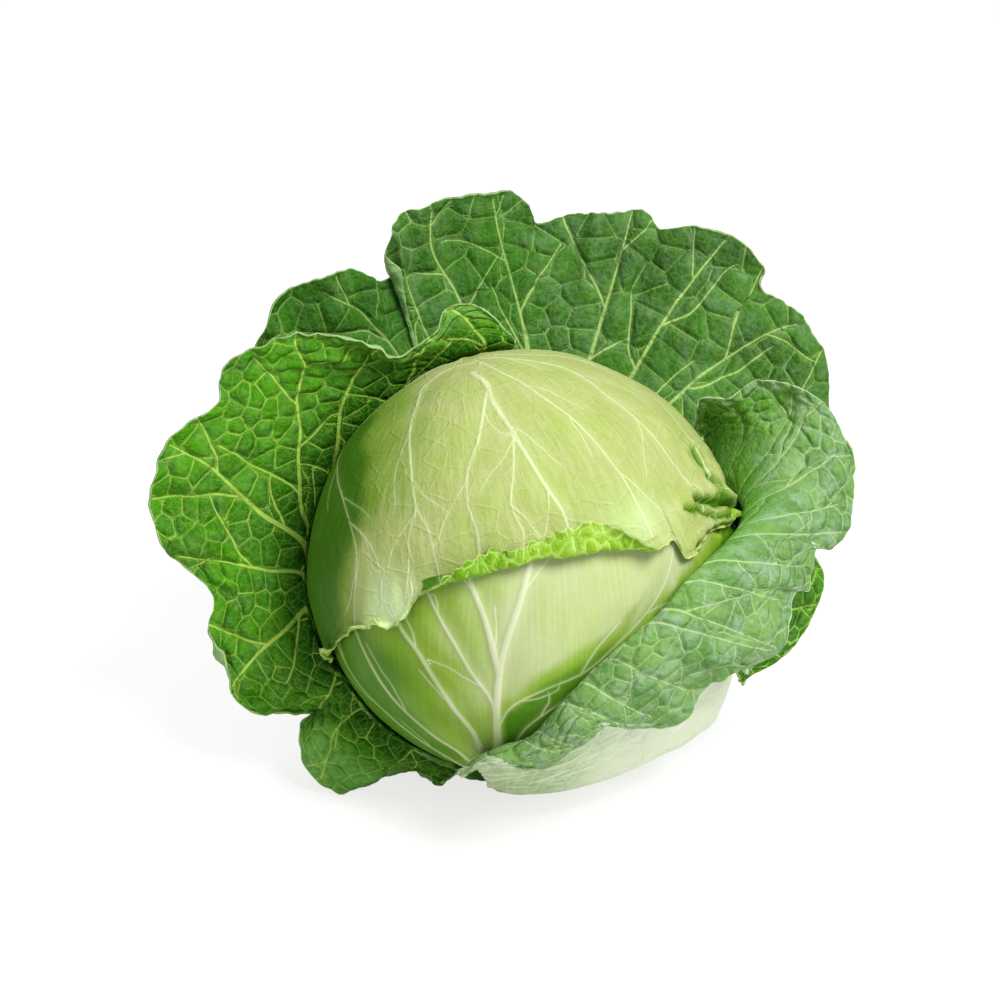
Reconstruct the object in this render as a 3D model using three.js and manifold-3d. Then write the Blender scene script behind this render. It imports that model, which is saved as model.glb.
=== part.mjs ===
// A green cabbage head as cut: a round head with four loose outer leaves, standing on its stump.
// Millimetres, +Z up. The origin is the middle of the cut face of the stump, on the surface it stands on.
// The head's front, where the top leaf's edge crosses it, faces -Y.
import * as THREE from "three";
import Module from "manifold-3d";

// The head is a ball of tightly wrapped leaves, and each leaf lies on its own sphere around it.
const HEAD_HEIGHT = 96; // centre of the head above the surface it stands on
const PACKED_RADIUS = 84; // the packed inner leaves
const FRONT_LEAF_RADIUS = 85; // middle of the leaf's thickness, as for all below
const TOP_LEAF_RADIUS = 88;
const SIDE_LEAF_RADIUS = 92; // the left and the right outer leaf lie side by side
const REAR_LEAF_RADIUS = 95.6; // the back and the low outer leaf lie side by side
const STUMP_RADIUS = 18;
const GAP = 0.4; // between pieces that touch

const HEAD_BLADE = 1.2; // thickness of the head's leaves
const OUTER_BLADE = 1.3; // thickness of the outer leaves where they wrap the head
const EDGE_BLADE = 0.9; // thickness of every leaf at its edge
const ROWS = 16; // steps from a leaf's root to its edge
const LYING_ROWS = 9; // of these, the steps on which an outer leaf lies on the head

// Every point below is measured from the centre of the head.
const vector = ([x, y, z]) => new THREE.Vector3(x, y, z);
const { lerp, degToRad, smoothstep: smooth } = THREE.MathUtils;

// A curve through points, as a function of the share of its length.
function rail(points, closed = false) {
  const curve = new THREE.CatmullRomCurve3(points.map(vector), closed, "centripetal");
  curve.arcLengthDivisions = 500;
  return (share) => curve.getPointAt(share);
}

// The point at a compass angle (from +X towards +Y) and a latitude on a sphere around the head's centre.
function onSphere(radius, compass, latitude) {
  const level = Math.cos(latitude) * radius;
  return new THREE.Vector3(Math.cos(compass) * level, Math.sin(compass) * level, Math.sin(latitude) * radius);
}

// A smooth curve that runs through the second to the last stop as the share goes from 0 to 1.
function alongStops(stops, share) {
  const place = 1 + share * (stops.length - 2);
  const i = Math.min(Math.floor(place), stops.length - 2);
  const t = place - i;
  const [before, a, b] = stops.slice(i - 1, i + 2);
  const after = stops[Math.min(i + 2, stops.length - 1)];
  const start = b.clone().sub(before).multiplyScalar(0.5);
  const end = after.clone().sub(a).multiplyScalar(0.5);
  return new THREE.Vector3()
    .addScaledVector(a, 2 * t ** 3 - 3 * t ** 2 + 1)
    .addScaledVector(start, t ** 3 - 2 * t ** 2 + t)
    .addScaledVector(b, 3 * t ** 2 - 2 * t ** 3)
    .addScaledVector(end, t ** 3 - t ** 2);
}

// The middle surface of a leaf that grows from the stump, lies on the head and then leaves it.
// u runs across the leaf, anticlockwise seen from above, and v from its root to its edge.
// throat is where it leaves the head; rise and lift carry it on upwards and outwards from there.
function fanLeaf({ radius, root, throat, edge, rise = 0, lift = [0, 0], sweep = 1 }) {
  const throatRail = rail(throat);
  const edgeRail = rail(edge);
  const rootLatitude = -Math.acos((STUMP_RADIUS + GAP) / radius);
  const lying = LYING_ROWS / ROWS;
  return (u, v) => {
    const leave = throatRail(u);
    const out = edgeRail(u);
    const compass = degToRad(lerp(root[0], root[1], u));
    const turn = Math.atan2(leave.y, leave.x) - compass;
    const swing = Math.atan2(Math.sin(turn), Math.cos(turn));
    const latitude = Math.atan2(leave.z, Math.hypot(leave.x, leave.y));
    const lie = (share) =>
      onSphere(radius, compass + swing * share ** sweep, lerp(rootLatitude, latitude, share));
    if (v <= lying) return lie(v / lying);
    const foot = lie(1);
    const away = foot.clone().normalize();
    const onward = foot.clone().sub(lie(0.97)).normalize();
    const first = foot.clone().lerp(out, 0.3).addScaledVector(away, lift[0]).addScaledVector(onward, rise);
    const second = foot.clone().lerp(out, 0.66).addScaledVector(away, lift[1]).addScaledVector(onward, rise / 2);
    return alongStops([lie(0.85), foot, first, second, out], (v - lying) / (1 - lying));
  };
}

// Waves that grow towards the edge of a leaf: [height, waves across the leaf, phase] for each.
function ruffle(waves, start) {
  return (u, v) =>
    smooth(v, start, 1) ** 1.4 *
    waves.reduce((sum, [height, count, phase]) => sum + height * Math.sin(2 * Math.PI * (count * u + phase)), 0);
}

// Ribs raised on the outer face along the columns nearest to the given shares, flattening to the edge.
function ribs(shares, height, columns) {
  const raised = shares.map((share) => Math.round(share * columns));
  return (u, v) => (raised.includes(Math.round(u * columns)) ? height * smooth(1 - v, 0.05, 0.6) : 0);
}

// A closed solid around a middle surface, with both faces split into the same triangles.
// In a ring leaf the last column joins the first, and all columns start at one point, the crown.
function blade({ surface, columns, wave = () => 0, ribAt = [], ribHeight = 0.8, thick, ring = false }) {
  const rib = ribs(ribAt, ribHeight, columns);
  const across = ring ? columns : columns + 1;
  const step = 1e-3;
  const normalAt = (shape, u, v) => {
    const left = ring ? u - step : Math.max(u - step, 0);
    const right = ring ? u + step : Math.min(u + step, 1);
    const place = (share) => (ring ? (share + 1) % 1 : share);
    const side = shape(place(right), v).sub(shape(place(left), v));
    const up = shape(u, Math.min(v + step, 1)).sub(shape(u, Math.max(v - step, 0)));
    return side.cross(up).normalize();
  };
  const waved = (u, v) => surface(u, v).addScaledVector(normalAt(surface, u, v), wave(u, v));
  const outer = [];
  const inner = [];
  for (let row = ring ? 1 : 0; row <= ROWS; row++) {
    for (let column = 0; column < across; column++) {
      const [u, v] = [column / columns, row / ROWS];
      const middle = waved(u, v);
      const normal = normalAt(waved, u, v);
      outer.push(middle.clone().addScaledVector(normal, thick(v) / 2 + rib(u, v)));
      inner.push(middle.clone().addScaledVector(normal, -thick(v) / 2));
    }
  }
  if (ring) {
    const crown = surface(0, 0);
    const up = crown.clone().normalize();
    outer.push(crown.clone().addScaledVector(up, thick(0) / 2));
    inner.push(crown.clone().addScaledVector(up, -thick(0) / 2));
  }
  const count = outer.length;
  const triangles = [];
  const both = (a, b, c) => triangles.push(a, b, c, a + count, c + count, b + count);
  const wall = (a, b) => triangles.push(a, b, a + count, b, b + count, a + count);
  const last = ring ? ROWS - 1 : ROWS;
  const at = (column, row) => row * across + (ring ? column % across : column);
  for (let column = 0; column < columns; column++) {
    for (let row = 0; row < last; row++) {
      both(at(column, row), at(column + 1, row), at(column + 1, row + 1));
      both(at(column, row), at(column + 1, row + 1), at(column, row + 1));
    }
    if (ring) both(count - 1, at(column + 1, 0), at(column, 0));
    else wall(at(column + 1, 0), at(column, 0));
    wall(at(column, last), at(column + 1, last));
  }
  for (let row = 0; row < ROWS && !ring; row++) {
    wall(at(0, row), at(0, row + 1));
    wall(at(columns, row + 1), at(columns, row));
  }
  return geometryOf([...outer, ...inner].flatMap((point) => point.toArray()), triangles);
}

function geometryOf(positions, triangles) {
  const geometry = new THREE.BufferGeometry();
  geometry.setAttribute("position", new THREE.Float32BufferAttribute(positions, 3));
  geometry.setIndex(triangles);
  geometry.computeVertexNormals();
  return geometry;
}

const cabbage = new THREE.Group();
const headCentre = new THREE.Group();
headCentre.position.z = HEAD_HEIGHT;
cabbage.add(headCentre);

function place(name, geometry, color, roughness, holder = headCentre) {
  const mesh = new THREE.Mesh(geometry, new THREE.MeshStandardMaterial({ color, roughness, metalness: 0 }));
  mesh.name = name;
  holder.add(mesh);
}

const headThickness = (v) => lerp(HEAD_BLADE, EDGE_BLADE, smooth(v, 0.8, 1));
const outerThickness = (v) => lerp(OUTER_BLADE, EDGE_BLADE, smooth(v, 0.5, 1));

// The stump: the thick stem, cut flat below the lowest leaf, which everything grows from.
const stumpTop = HEAD_HEIGHT - PACKED_RADIUS - GAP;
const stumpProfile = [
  [0, 0],
  [STUMP_RADIUS - 1.5, 0],
  [STUMP_RADIUS - 0.4, 1.2],
  [STUMP_RADIUS - 0.6, 6],
  [STUMP_RADIUS - 3, stumpTop],
  [0, stumpTop],
].map(([x, y]) => new THREE.Vector2(x, y));
place("stump", new THREE.LatheGeometry(stumpProfile, 24).rotateX(Math.PI / 2), 0xd9dfae, 0.7, cabbage);

// The head's packed leaves are one dense ball. The front leaf is the outermost of them: it stands out
// of the ball on the lower front of the head, from the stump up to where it tucks in under the top leaf.
const FRONT_LEAF_SINK = 1.1; // how far the front leaf reaches down into the ball
const frontSurface = fanLeaf({
  radius: FRONT_LEAF_RADIUS,
  root: [200, 340],
  throat: [
    [-78, 24, -8],
    [-80, -18, 4],
    [-52, -58, 20],
    [0, -76, 26],
    [52, -58, 24],
    [80, -14, 18],
    [76, 28, 8],
  ],
  edge: [
    [-80, 22, -2],
    [-78, -14, 18],
    [-48, -50, 42],
    [0, -64, 54],
    [48, -50, 50],
    [76, -8, 34],
    [74, 30, 18],
  ],
});
const frontLeaf = blade({
  surface: (u, v) => frontSurface(u, v).setLength(FRONT_LEAF_RADIUS - FRONT_LEAF_SINK / 2),
  columns: 26,
  ribAt: [0.23, 0.35, 0.42, 0.5, 0.58, 0.69],
  ribHeight: 1,
  thick: () => HEAD_BLADE + FRONT_LEAF_SINK,
});
const manifold = await Module();
manifold.setup();
const frontSolid = new manifold.Manifold(
  new manifold.Mesh({
    numProp: 3,
    vertProperties: new Float32Array(frontLeaf.attributes.position.array),
    triVerts: new Uint32Array(frontLeaf.index.array),
  }),
);
const packedHead = manifold.Manifold.sphere(PACKED_RADIUS, 44).add(frontSolid).getMesh();
place("packed_head", geometryOf([...packedHead.vertProperties], [...packedHead.triVerts]), 0xbcd468, 0.45);

// The top leaf comes up the back of the head, and its veins fan out from a crown at the top left.
// Its edge crosses the front of the head, where it folds outwards and up, and is pinched at the right.
const CROWN = [-23, 22, 81];
const TOP_LEAF_EDGE = [
  [88, 4, 23],
  [83, -10, 27],
  [73, -34, 35],
  [61, -54, 33],
  [56, -53, 41],
  [45, -63, 42],
  [22, -73, 44],
  [2, -77, 42],
  [-23, -77, 36],
  [-41, -72, 29],
  [-49, -71, 14],
  [-67, -57, 4],
  [-75, -44, -8],
  [-82, -22, -30],
  [-78, 14, -40],
  [-58, 44, -54],
  [-22, 34, -78],
  [0, 22, -85],
  [26, 38, -76],
  [60, 54, -40],
  [82, 30, 4],
];
const FOLD_RADIUS = 1.9;
const FOLD_LENGTH = 15; // from the start of the fold to the leaf's edge
const FOLD_ENDS = [0.14, 0.18, 0.28, 0.315]; // shares of the edge between which it folds over
const FOLD_FROM = 12 / ROWS; // share of the rows that lies on the head
const topEdgeRail = rail(TOP_LEAF_EDGE, true);
const foldAt = (u) => smooth(u, FOLD_ENDS[0], FOLD_ENDS[1]) * (1 - smooth(u, FOLD_ENDS[2], FOLD_ENDS[3]));

function topSurface(u, v) {
  const outward = vector(CROWN).normalize();
  const edge = topEdgeRail(u).normalize();
  const axis = outward.clone().cross(edge).normalize();
  outward.applyAxisAngle(axis, outward.angleTo(edge) * Math.min(1, v / FOLD_FROM));
  const onward = axis.cross(outward);
  const point = outward.clone().multiplyScalar(TOP_LEAF_RADIUS);
  if (v <= FOLD_FROM) return point;
  const amount = Math.max(foldAt(u), 0.001);
  const length = (lerp(3, FOLD_LENGTH, foldAt(u)) * (v - FOLD_FROM)) / (1 - FOLD_FROM);
  const bent = Math.min(length, Math.PI * FOLD_RADIUS);
  const turn = (amount * bent) / FOLD_RADIUS;
  const ahead = (FOLD_RADIUS / amount) * Math.sin(turn) + (length - bent) * Math.cos(turn);
  const off = (FOLD_RADIUS / amount) * (1 - Math.cos(turn)) + (length - bent) * Math.sin(turn);
  return point.addScaledVector(onward, ahead).addScaledVector(outward, off);
}
const topLeaf = blade({
  surface: topSurface,
  columns: 48,
  ribAt: [0.09, 0.19, 0.27, 0.31, 0.37, 0.5, 0.62, 0.72, 0.83, 0.93],
  ribHeight: 0.7,
  thick: headThickness,
  ring: true,
});
place("top_head_leaf", topLeaf, 0xb4cf62, 0.45);

// The right outer leaf cups the lower right of the head, then folds outwards and hangs down over itself.
// Towards its top it opens into a trumpet behind the head.
const rightLeaf = blade({
  surface: fanLeaf({
    radius: SIDE_LEAF_RADIUS,
    root: [252, 390],
    throat: [
      [-22, -73, -52],
      [-10, -81, -42],
      [2, -85, -36],
      [13, -89, -20],
      [23, -89, -7],
      [36, -84, 7],
      [50, -76, 16],
      [63, -63, 24],
      [76, -43, 28],
      [86, -18, 28],
      [88, 4, 26],
      [84, 26, 24],
      [77, 40, 20],
      [70, 50, 14],
    ],
    edge: [
      [-26, -80, -50],
      [-15, -87, -40],
      [-3, -88, -42],
      [13, -89, -39],
      [30, -91, -22],
      [44, -82, -32],
      [56, -75, -34],
      [70, -68, -20],
      [84, -66, -12],
      [91, -60, -17],
      [104, -50, -4],
      [107, -40, 7],
      [114, -34, 6],
      [116, -26, 21],
      [124, -18, 17],
      [130, -8, 25],
      [134, 2, 37],
      [131, 12, 52],
      [120, 22, 65],
      [108, 30, 69],
      [96, 35, 68],
      [84, 38, 60],
      [73, 44, 56],
      [70, 52, 40],
    ],
    rise: 4,
    lift: [6, 6],
  }),
  columns: 44,
  wave: ruffle([[1.2, 9, 0.1]], 0.75),
  ribAt: [0.1, 0.22, 0.34, 0.46, 0.58, 0.7, 0.8, 0.9],
  thick: outerThickness,
});
place("right_outer_leaf", rightLeaf, 0x6fa34c, 0.6);

// The left outer leaf stands out to the left of the head like an open bowl. Its lowest lobe touches the
// surface, and its upper end stands up behind the head as a small flap.
const leftLeaf = blade({
  surface: fanLeaf({
    radius: SIDE_LEAF_RADIUS,
    root: [112, 238],
    sweep: 1.6,
    throat: [
      [-4, 51, 76],
      [-22, 47, 75],
      [-43, 52, 61],
      [-60, 46, 48],
      [-72, 38, 34],
      [-86, 20, 8],
      [-88, 2, -20],
      [-78, -14, -46],
      [-56, -26, -70],
      [-28, -26, -85],
    ],
    edge: [
      [-7, 52, 81],
      [-12, 52, 89],
      [-23, 52, 95],
      [-33, 50, 93],
      [-37, 46, 85],
      [-43, 40, 82],
      [-54, 36, 76],
      [-64, 34, 82],
      [-81, 34, 86],
      [-107, 32, 84],
      [-122, 27, 76],
      [-125, 23, 63],
      [-134, 17, 58],
      [-145, 12, 50],
      [-152, 7, 30],
      [-148, 1, 9],
      [-137, 0, -2],
      [-128, -1, -14],
      [-131, -9, -29],
      [-125, -14, -45],
      [-112, -17, -59],
      [-98, -12, -60],
      [-86, -4, -64],
      [-93, -14, -71],
      [-91, -18, -82],
      [-80, -20, -91],
      [-70, -18, -91],
      [-65, -10, -90],
      [-55, -8, -87],
      [-44, -14, -86],
      [-33, -23, -86],
    ],
    lift: [2, 2],
  }),
  columns: 48,
  wave: ruffle([[1.6, 10, 0.2]], 0.6),
  ribAt: [0.2, 0.3, 0.4, 0.48, 0.56, 0.66, 0.78, 0.9],
  thick: outerThickness,
});
place("left_outer_leaf", leftLeaf, 0x4f9a34, 0.6);

// The back outer leaf is the largest. It stands up behind the head as a wide ruffled fan.
const backLeaf = blade({
  surface: fanLeaf({
    radius: REAR_LEAF_RADIUS,
    root: [40, 150],
    throat: [
      [84, 42, -16],
      [76, 52, 4],
      [56, 74, 18],
      [28, 88, 26],
      [0, 92, 28],
      [-30, 86, 22],
      [-58, 70, 10],
      [-76, 54, -4],
      [-84, 42, -20],
    ],
    edge: [
      [90, 48, -14],
      [108, 62, 0],
      [124, 74, 18],
      [131, 80, 38],
      [128, 85, 59],
      [117, 91, 76],
      [101, 96, 85],
      [103, 99, 92],
      [94, 102, 103],
      [75, 108, 109],
      [58, 116, 105],
      [53, 117, 112],
      [38, 120, 111],
      [20, 122, 109],
      [5, 123, 105],
      [3, 121, 114],
      [-5, 119, 120],
      [-20, 117, 121],
      [-44, 108, 118],
      [-57, 103, 112],
      [-57, 99, 99],
      [-52, 99, 92],
      [-60, 97, 88],
      [-73, 90, 96],
      [-94, 85, 91],
      [-106, 80, 83],
      [-113, 74, 67],
      [-114, 70, 44],
      [-106, 62, 18],
      [-90, 50, -12],
    ],
    lift: [3, 4],
  }),
  columns: 48,
  wave: ruffle([[2, 8, 0.3]], 0.55),
  ribAt: [0.14, 0.24, 0.34, 0.43, 0.52, 0.6, 0.7, 0.8, 0.9],
  thick: outerThickness,
});
place("back_outer_leaf", backLeaf, 0x3f8136, 0.6);

// The low outer leaf grows lowest on the stump, and shows its edge under the right outer leaf.
const lowLeaf = blade({
  surface: fanLeaf({
    radius: REAR_LEAF_RADIUS,
    root: [-22, 34],
    throat: [
      [82, -25, -42],
      [88, -10, -35],
      [92, 6, -26],
      [91, 20, -20],
      [86, 30, -20],
    ],
    edge: [
      [86, -20, -48],
      [92, -9, -45],
      [104, -1, -44],
      [115, 7, -35],
      [123, 14, -22],
      [125, 18, -14],
      [121, 22, -6],
      [112, 28, -2],
      [99, 33, -6],
    ],
    lift: [1, 1],
  }),
  columns: 18,
  wave: ruffle([[1, 4, 0.2]], 0.6),
  ribAt: [0.28, 0.5, 0.72],
  thick: outerThickness,
});
place("low_outer_leaf", lowLeaf, 0x4a8f35, 0.6);

export default cabbage;
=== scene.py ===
import math
import random
import bpy
import numpy as np
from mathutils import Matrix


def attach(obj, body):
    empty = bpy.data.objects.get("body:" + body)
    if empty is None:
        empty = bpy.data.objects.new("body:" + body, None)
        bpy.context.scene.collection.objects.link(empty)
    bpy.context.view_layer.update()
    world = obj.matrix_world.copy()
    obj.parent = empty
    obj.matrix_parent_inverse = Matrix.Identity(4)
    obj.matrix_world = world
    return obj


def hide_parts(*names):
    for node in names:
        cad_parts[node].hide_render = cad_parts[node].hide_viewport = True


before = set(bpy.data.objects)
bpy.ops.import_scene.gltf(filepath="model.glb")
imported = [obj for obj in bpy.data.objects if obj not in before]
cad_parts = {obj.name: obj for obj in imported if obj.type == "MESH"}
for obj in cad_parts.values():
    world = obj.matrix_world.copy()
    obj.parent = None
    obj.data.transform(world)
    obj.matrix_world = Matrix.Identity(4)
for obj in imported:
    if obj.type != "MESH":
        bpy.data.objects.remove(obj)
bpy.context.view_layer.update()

HEAD_HEIGHT = 96.0  # millimetres from the surface up to the centre of the head
STUMP_RADIUS = 17.4
STUMP_TOP = 11.6
CUT_FACE = (0.80, 0.82, 0.58, 1)
CUT_RING = (0.88, 0.90, 0.72, 1)
CUT_FIBRE = (0.62, 0.60, 0.34, 1)
STUMP_SIDE = (0.56, 0.66, 0.34, 1)


def add(tree, kind, inputs=None, **settings):
    """A node with its settings, and its inputs set or linked."""
    made = tree.nodes.new(kind)
    for name, value in settings.items():
        setattr(made, name, value)
    for name, value in (inputs or {}).items():
        if isinstance(value, bpy.types.NodeSocket):
            tree.links.new(value, made.inputs[name])
        else:
            made.inputs[name].default_value = value
    return made


def maths(tree, operation, first, second=0.0, third=None):
    inputs = {0: first, 1: second}
    if third is not None:
        inputs[2] = third
    return add(tree, "ShaderNodeMath", inputs, operation=operation).outputs[0]


def ramp(tree, value, low, high):
    """0 below low, 1 above high and smooth between; with low above high it falls instead."""
    swap = low > high
    span = {"Value": value, "From Min": min(low, high), "From Max": max(low, high)}
    span.update({"To Min": 1.0 if swap else 0.0, "To Max": 0.0 if swap else 1.0})
    return add(tree, "ShaderNodeMapRange", span, interpolation_type="SMOOTHSTEP").outputs[0]


def blend_colour(tree, share, under, over, mode="MIX"):
    made = tree.nodes.new("ShaderNodeMix")
    made.data_type, made.blend_type = "RGBA", mode
    for index, value in ((0, share), (6, under), (7, over)):
        if isinstance(value, bpy.types.NodeSocket):
            tree.links.new(value, made.inputs[index])
        else:
            made.inputs[index].default_value = value
    return made.outputs[2]


def new_material(name, **sockets):
    """A material with one Principled shader; returns the material, its tree and the shader."""
    made = bpy.data.materials.new(name)
    made.use_nodes = True
    shader = made.node_tree.nodes["Principled BSDF"]
    for socket, value in sockets.items():
        shader.inputs[socket.replace("_", " ")].default_value = value
    return made, made.node_tree, shader


def noise(tree, place, scale, detail=3.0, roughness=0.5):
    inputs = {"Vector": place, "Scale": scale, "Detail": detail, "Roughness": roughness}
    return add(tree, "ShaderNodeTexNoise", inputs).outputs["Fac"]


bpy.ops.object.select_all(action="DESELECT")
bpy.ops.mesh.primitive_cylinder_add(vertices=96, radius=STUMP_RADIUS / 1000, depth=STUMP_TOP / 1000,
                                    location=(0, 0, STUMP_TOP / 2000))
stump = bpy.context.object
stump.name = "cut_stump"
bpy.ops.object.mode_set(mode="EDIT")
bpy.ops.mesh.select_all(action="SELECT")
bpy.ops.mesh.bevel(offset=0.0012, segments=3, affect="EDGES")
bpy.ops.object.mode_set(mode="OBJECT")
bpy.ops.object.transform_apply(location=True, rotation=True, scale=True)
bpy.ops.object.shade_smooth_by_angle(angle=0.8)
stump_finish, tree, shader = new_material("cut_stem", Roughness=0.7)
place = add(tree, "ShaderNodeTexCoord").outputs["Object"]
reach = add(tree, "ShaderNodeVectorMath", {0: place, 1: (1, 1, 0)}, operation="MULTIPLY").outputs[0]
reach = add(tree, "ShaderNodeVectorMath", {0: reach}, operation="LENGTH").outputs["Value"]
ring = maths(tree, "MULTIPLY", ramp(tree, reach, 0.009, 0.0115), ramp(tree, reach, 0.0145, 0.0125))
cut = blend_colour(tree, ring, CUT_FACE, CUT_RING)
fibre = noise(tree, place, 1400.0, 4.0)
cut = blend_colour(tree, maths(tree, "MULTIPLY", fibre, 0.35), cut, CUT_FIBRE)
side = ramp(tree, reach, STUMP_RADIUS / 1000 - 0.0009, STUMP_RADIUS / 1000 - 0.0002)
tree.links.new(blend_colour(tree, side, cut, STUMP_SIDE), shader.inputs["Base Color"])
bump = add(tree, "ShaderNodeBump", {"Height": fibre, "Strength": 0.4, "Distance": 0.0004})
tree.links.new(bump.outputs[0], shader.inputs["Normal"])
stump.data.materials.append(stump_finish)
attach(stump, "root")
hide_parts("stump")

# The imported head: the inner leaves, wrapped into one dense ball. The outermost is the front leaf, a pale
# waxy blade with thick whitish ribs that fork upwards from the stump. It grows round the ball, and its
# upper edge is tucked in under the top leaf.
PACKED_RADIUS = 84.0
FRONT_LEAF_RISE = 1.6
VEIN_STEP = 2.0  # a side vein grows by so much at a time
BATCH = 6000  # points that are measured at a time
BLOOM = (0.40, 0.56, 0.42, 1)
PALE_VEIN = (0.90, 0.98, 0.72, 1)
FRONT_RIBS = [  # half width, and degrees of compass and latitude round the head, from the stump upwards
    (1.9, [(-105, -76), (-100, -50), (-98.4, -27), (-97.7, -11), (-96, 3), (-92, 16), (-89, 27), (-87, 40)]),
    (1.2, [(-97, -3), (-101, 12), (-107, 24), (-112, 36)]),
    (0.9, [(-108, -76), (-101, -50), (-99, -30), (-99, -13), (-105, -3), (-109, 4), (-114, 11), (-119, 18),
           (-126, 28)]),
    (1.35, [(-116, -74), (-105, -45), (-105, -27), (-111, -15), (-116, -6), (-120, 0), (-125, 5),
            (-132, 16)]),
    (1.35, [(-124, -72), (-110, -52), (-113, -37), (-123, -27), (-132, -17), (-137, -9), (-142, -1),
            (-148, 12)]),
    (1.1, [(-134, -70), (-118, -56), (-121, -44), (-136, -31), (-152, -20), (-160, -6)]),
    (0.25, [(-98, -22), (-94, -14), (-85, -8), (-75, -4), (-64, 4), (-54, 11), (-47, 17), (-40, 27)]),
    (0.25, [(-98, -40), (-90, -22), (-81, -13), (-66, -2), (-50, 6), (-38, 12)]),
]


def direction(compass, latitude):
    compass, latitude = np.radians(compass), np.radians(latitude)
    level = np.cos(latitude)
    return np.stack([np.cos(compass) * level, np.sin(compass) * level, np.sin(latitude)], -1)


def rail(points, closed=False):
    """A smooth curve through points, as a function of the share of its length."""
    stops = [np.array(point, float) for point in points]
    count = len(stops)
    parts = []
    for i in range(count if closed else count - 1):
        if closed:
            before, start, end, after = (stops[(i + k) % count] for k in (-1, 0, 1, 2))
        else:
            start, end = stops[i], stops[i + 1]
            before = stops[i - 1] if i else 2 * start - end
            after = stops[i + 2] if i + 2 < count else 2 * end - start
        sides = ((before, start), (start, end), (end, after))
        gaps = [max(float(np.linalg.norm(b - a)) ** 0.5, 1e-6) for a, b in sides]
        leave = (start - before) / gaps[0] - (end - before) / (gaps[0] + gaps[1]) + (end - start) / gaps[1]
        arrive = (end - start) / gaps[1] - (after - start) / (gaps[1] + gaps[2]) + (after - end) / gaps[2]
        leave, arrive = leave * gaps[1], arrive * gaps[1]
        t = np.linspace(0, 1, 25)[:-1, None]
        bend = 3 * (end - start) - 2 * leave - arrive
        parts.append(start + leave * t + bend * t**2 + (2 * (start - end) + leave + arrive) * t**3)
    parts.append((stops[0] if closed else stops[-1])[None])
    line = np.concatenate(parts)
    reach = np.concatenate([[0], np.cumsum(np.linalg.norm(np.diff(line, axis=0), axis=1))])
    reach /= reach[-1]
    return lambda share: np.stack([np.interp(share, reach, line[:, k]) for k in range(line.shape[1])], -1)


def unit(vectors):
    return vectors / np.maximum(np.linalg.norm(vectors, axis=-1, keepdims=True), 1e-9)


def smooth(values, low, high):
    t = np.clip((values - low) / (high - low), 0, 1)
    return t * t * (3 - 2 * t)


def wobble(places, size, seed):
    """Smooth random hills between -1 and 1 about size wide, at places of one to three dimensions."""
    draw = random.Random(seed)
    total = np.zeros(places.shape[:-1])
    for _ in range(7):
        way = np.array([draw.gauss(0, 1) for _ in range(places.shape[-1])])
        way *= 2 * math.pi / (size * draw.uniform(0.7, 1.6)) / np.linalg.norm(way)
        total += np.sin(places @ way + draw.uniform(0, 2 * math.pi))
    return total / 3.2


def in_two_layers(veins):
    """Shares the veins out over two layers, so that forks and close neighbours fall in different ones."""
    layers, near = [[], []], 6.0
    for line, half in veins:
        close = []
        for layer in layers:
            others = np.concatenate([other for other, _ in layer]) if layer else np.full((1, 3), 1e6)
            far = ((line[::2, None] - others[None, ::2]) ** 2).sum(2).min(1)
            close.append((far < near * near).sum())
        layers[int(close[1] < close[0])].append((line, half))
    return layers[0], layers[1] or layers[0][:1]


def to_veins(places, normals, veins):
    """Signed distance, plain distance and half width of the nearest vein, in millimetres."""
    ends = [np.stack([line[:-1], line[1:]], 1) for line, _ in veins]
    widths = np.concatenate([np.stack([half[:-1], half[1:]], 1) for _, half in veins])
    pieces = np.concatenate(ends)
    middles = pieces.mean(1)
    side, gap, half = (np.empty(len(places)) for _ in range(3))
    for first in range(0, len(places), BATCH):
        part = slice(first, first + BATCH)
        p, n = places[part], normals[part]
        far = (p**2).sum(1)[:, None] + (middles**2).sum(1)[None] - 2 * p @ middles.T
        best = np.full(len(p), 1e9)
        for rank in np.argpartition(far, 4, axis=1)[:, :4].T:
            a, b = pieces[rank, 0], pieces[rank, 1]
            along = b - a
            share = np.clip(((p - a) * along).sum(1) / np.maximum((along**2).sum(1), 1e-9), 0, 1)
            off = p - a - along * share[:, None]
            distance = np.linalg.norm(off, axis=1)
            width = widths[rank, 0] * (1 - share) + widths[rank, 1] * share
            nearer = distance - width < best
            best[nearer] = (distance - width)[nearer]
            signed = np.sign((np.cross(along, off) * n).sum(1)) * distance
            side[part][nearer] = signed[nearer]
            half[part][nearer] = width[nearer]
        gap[part] = best + half[part]
    return side, gap, half


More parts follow.
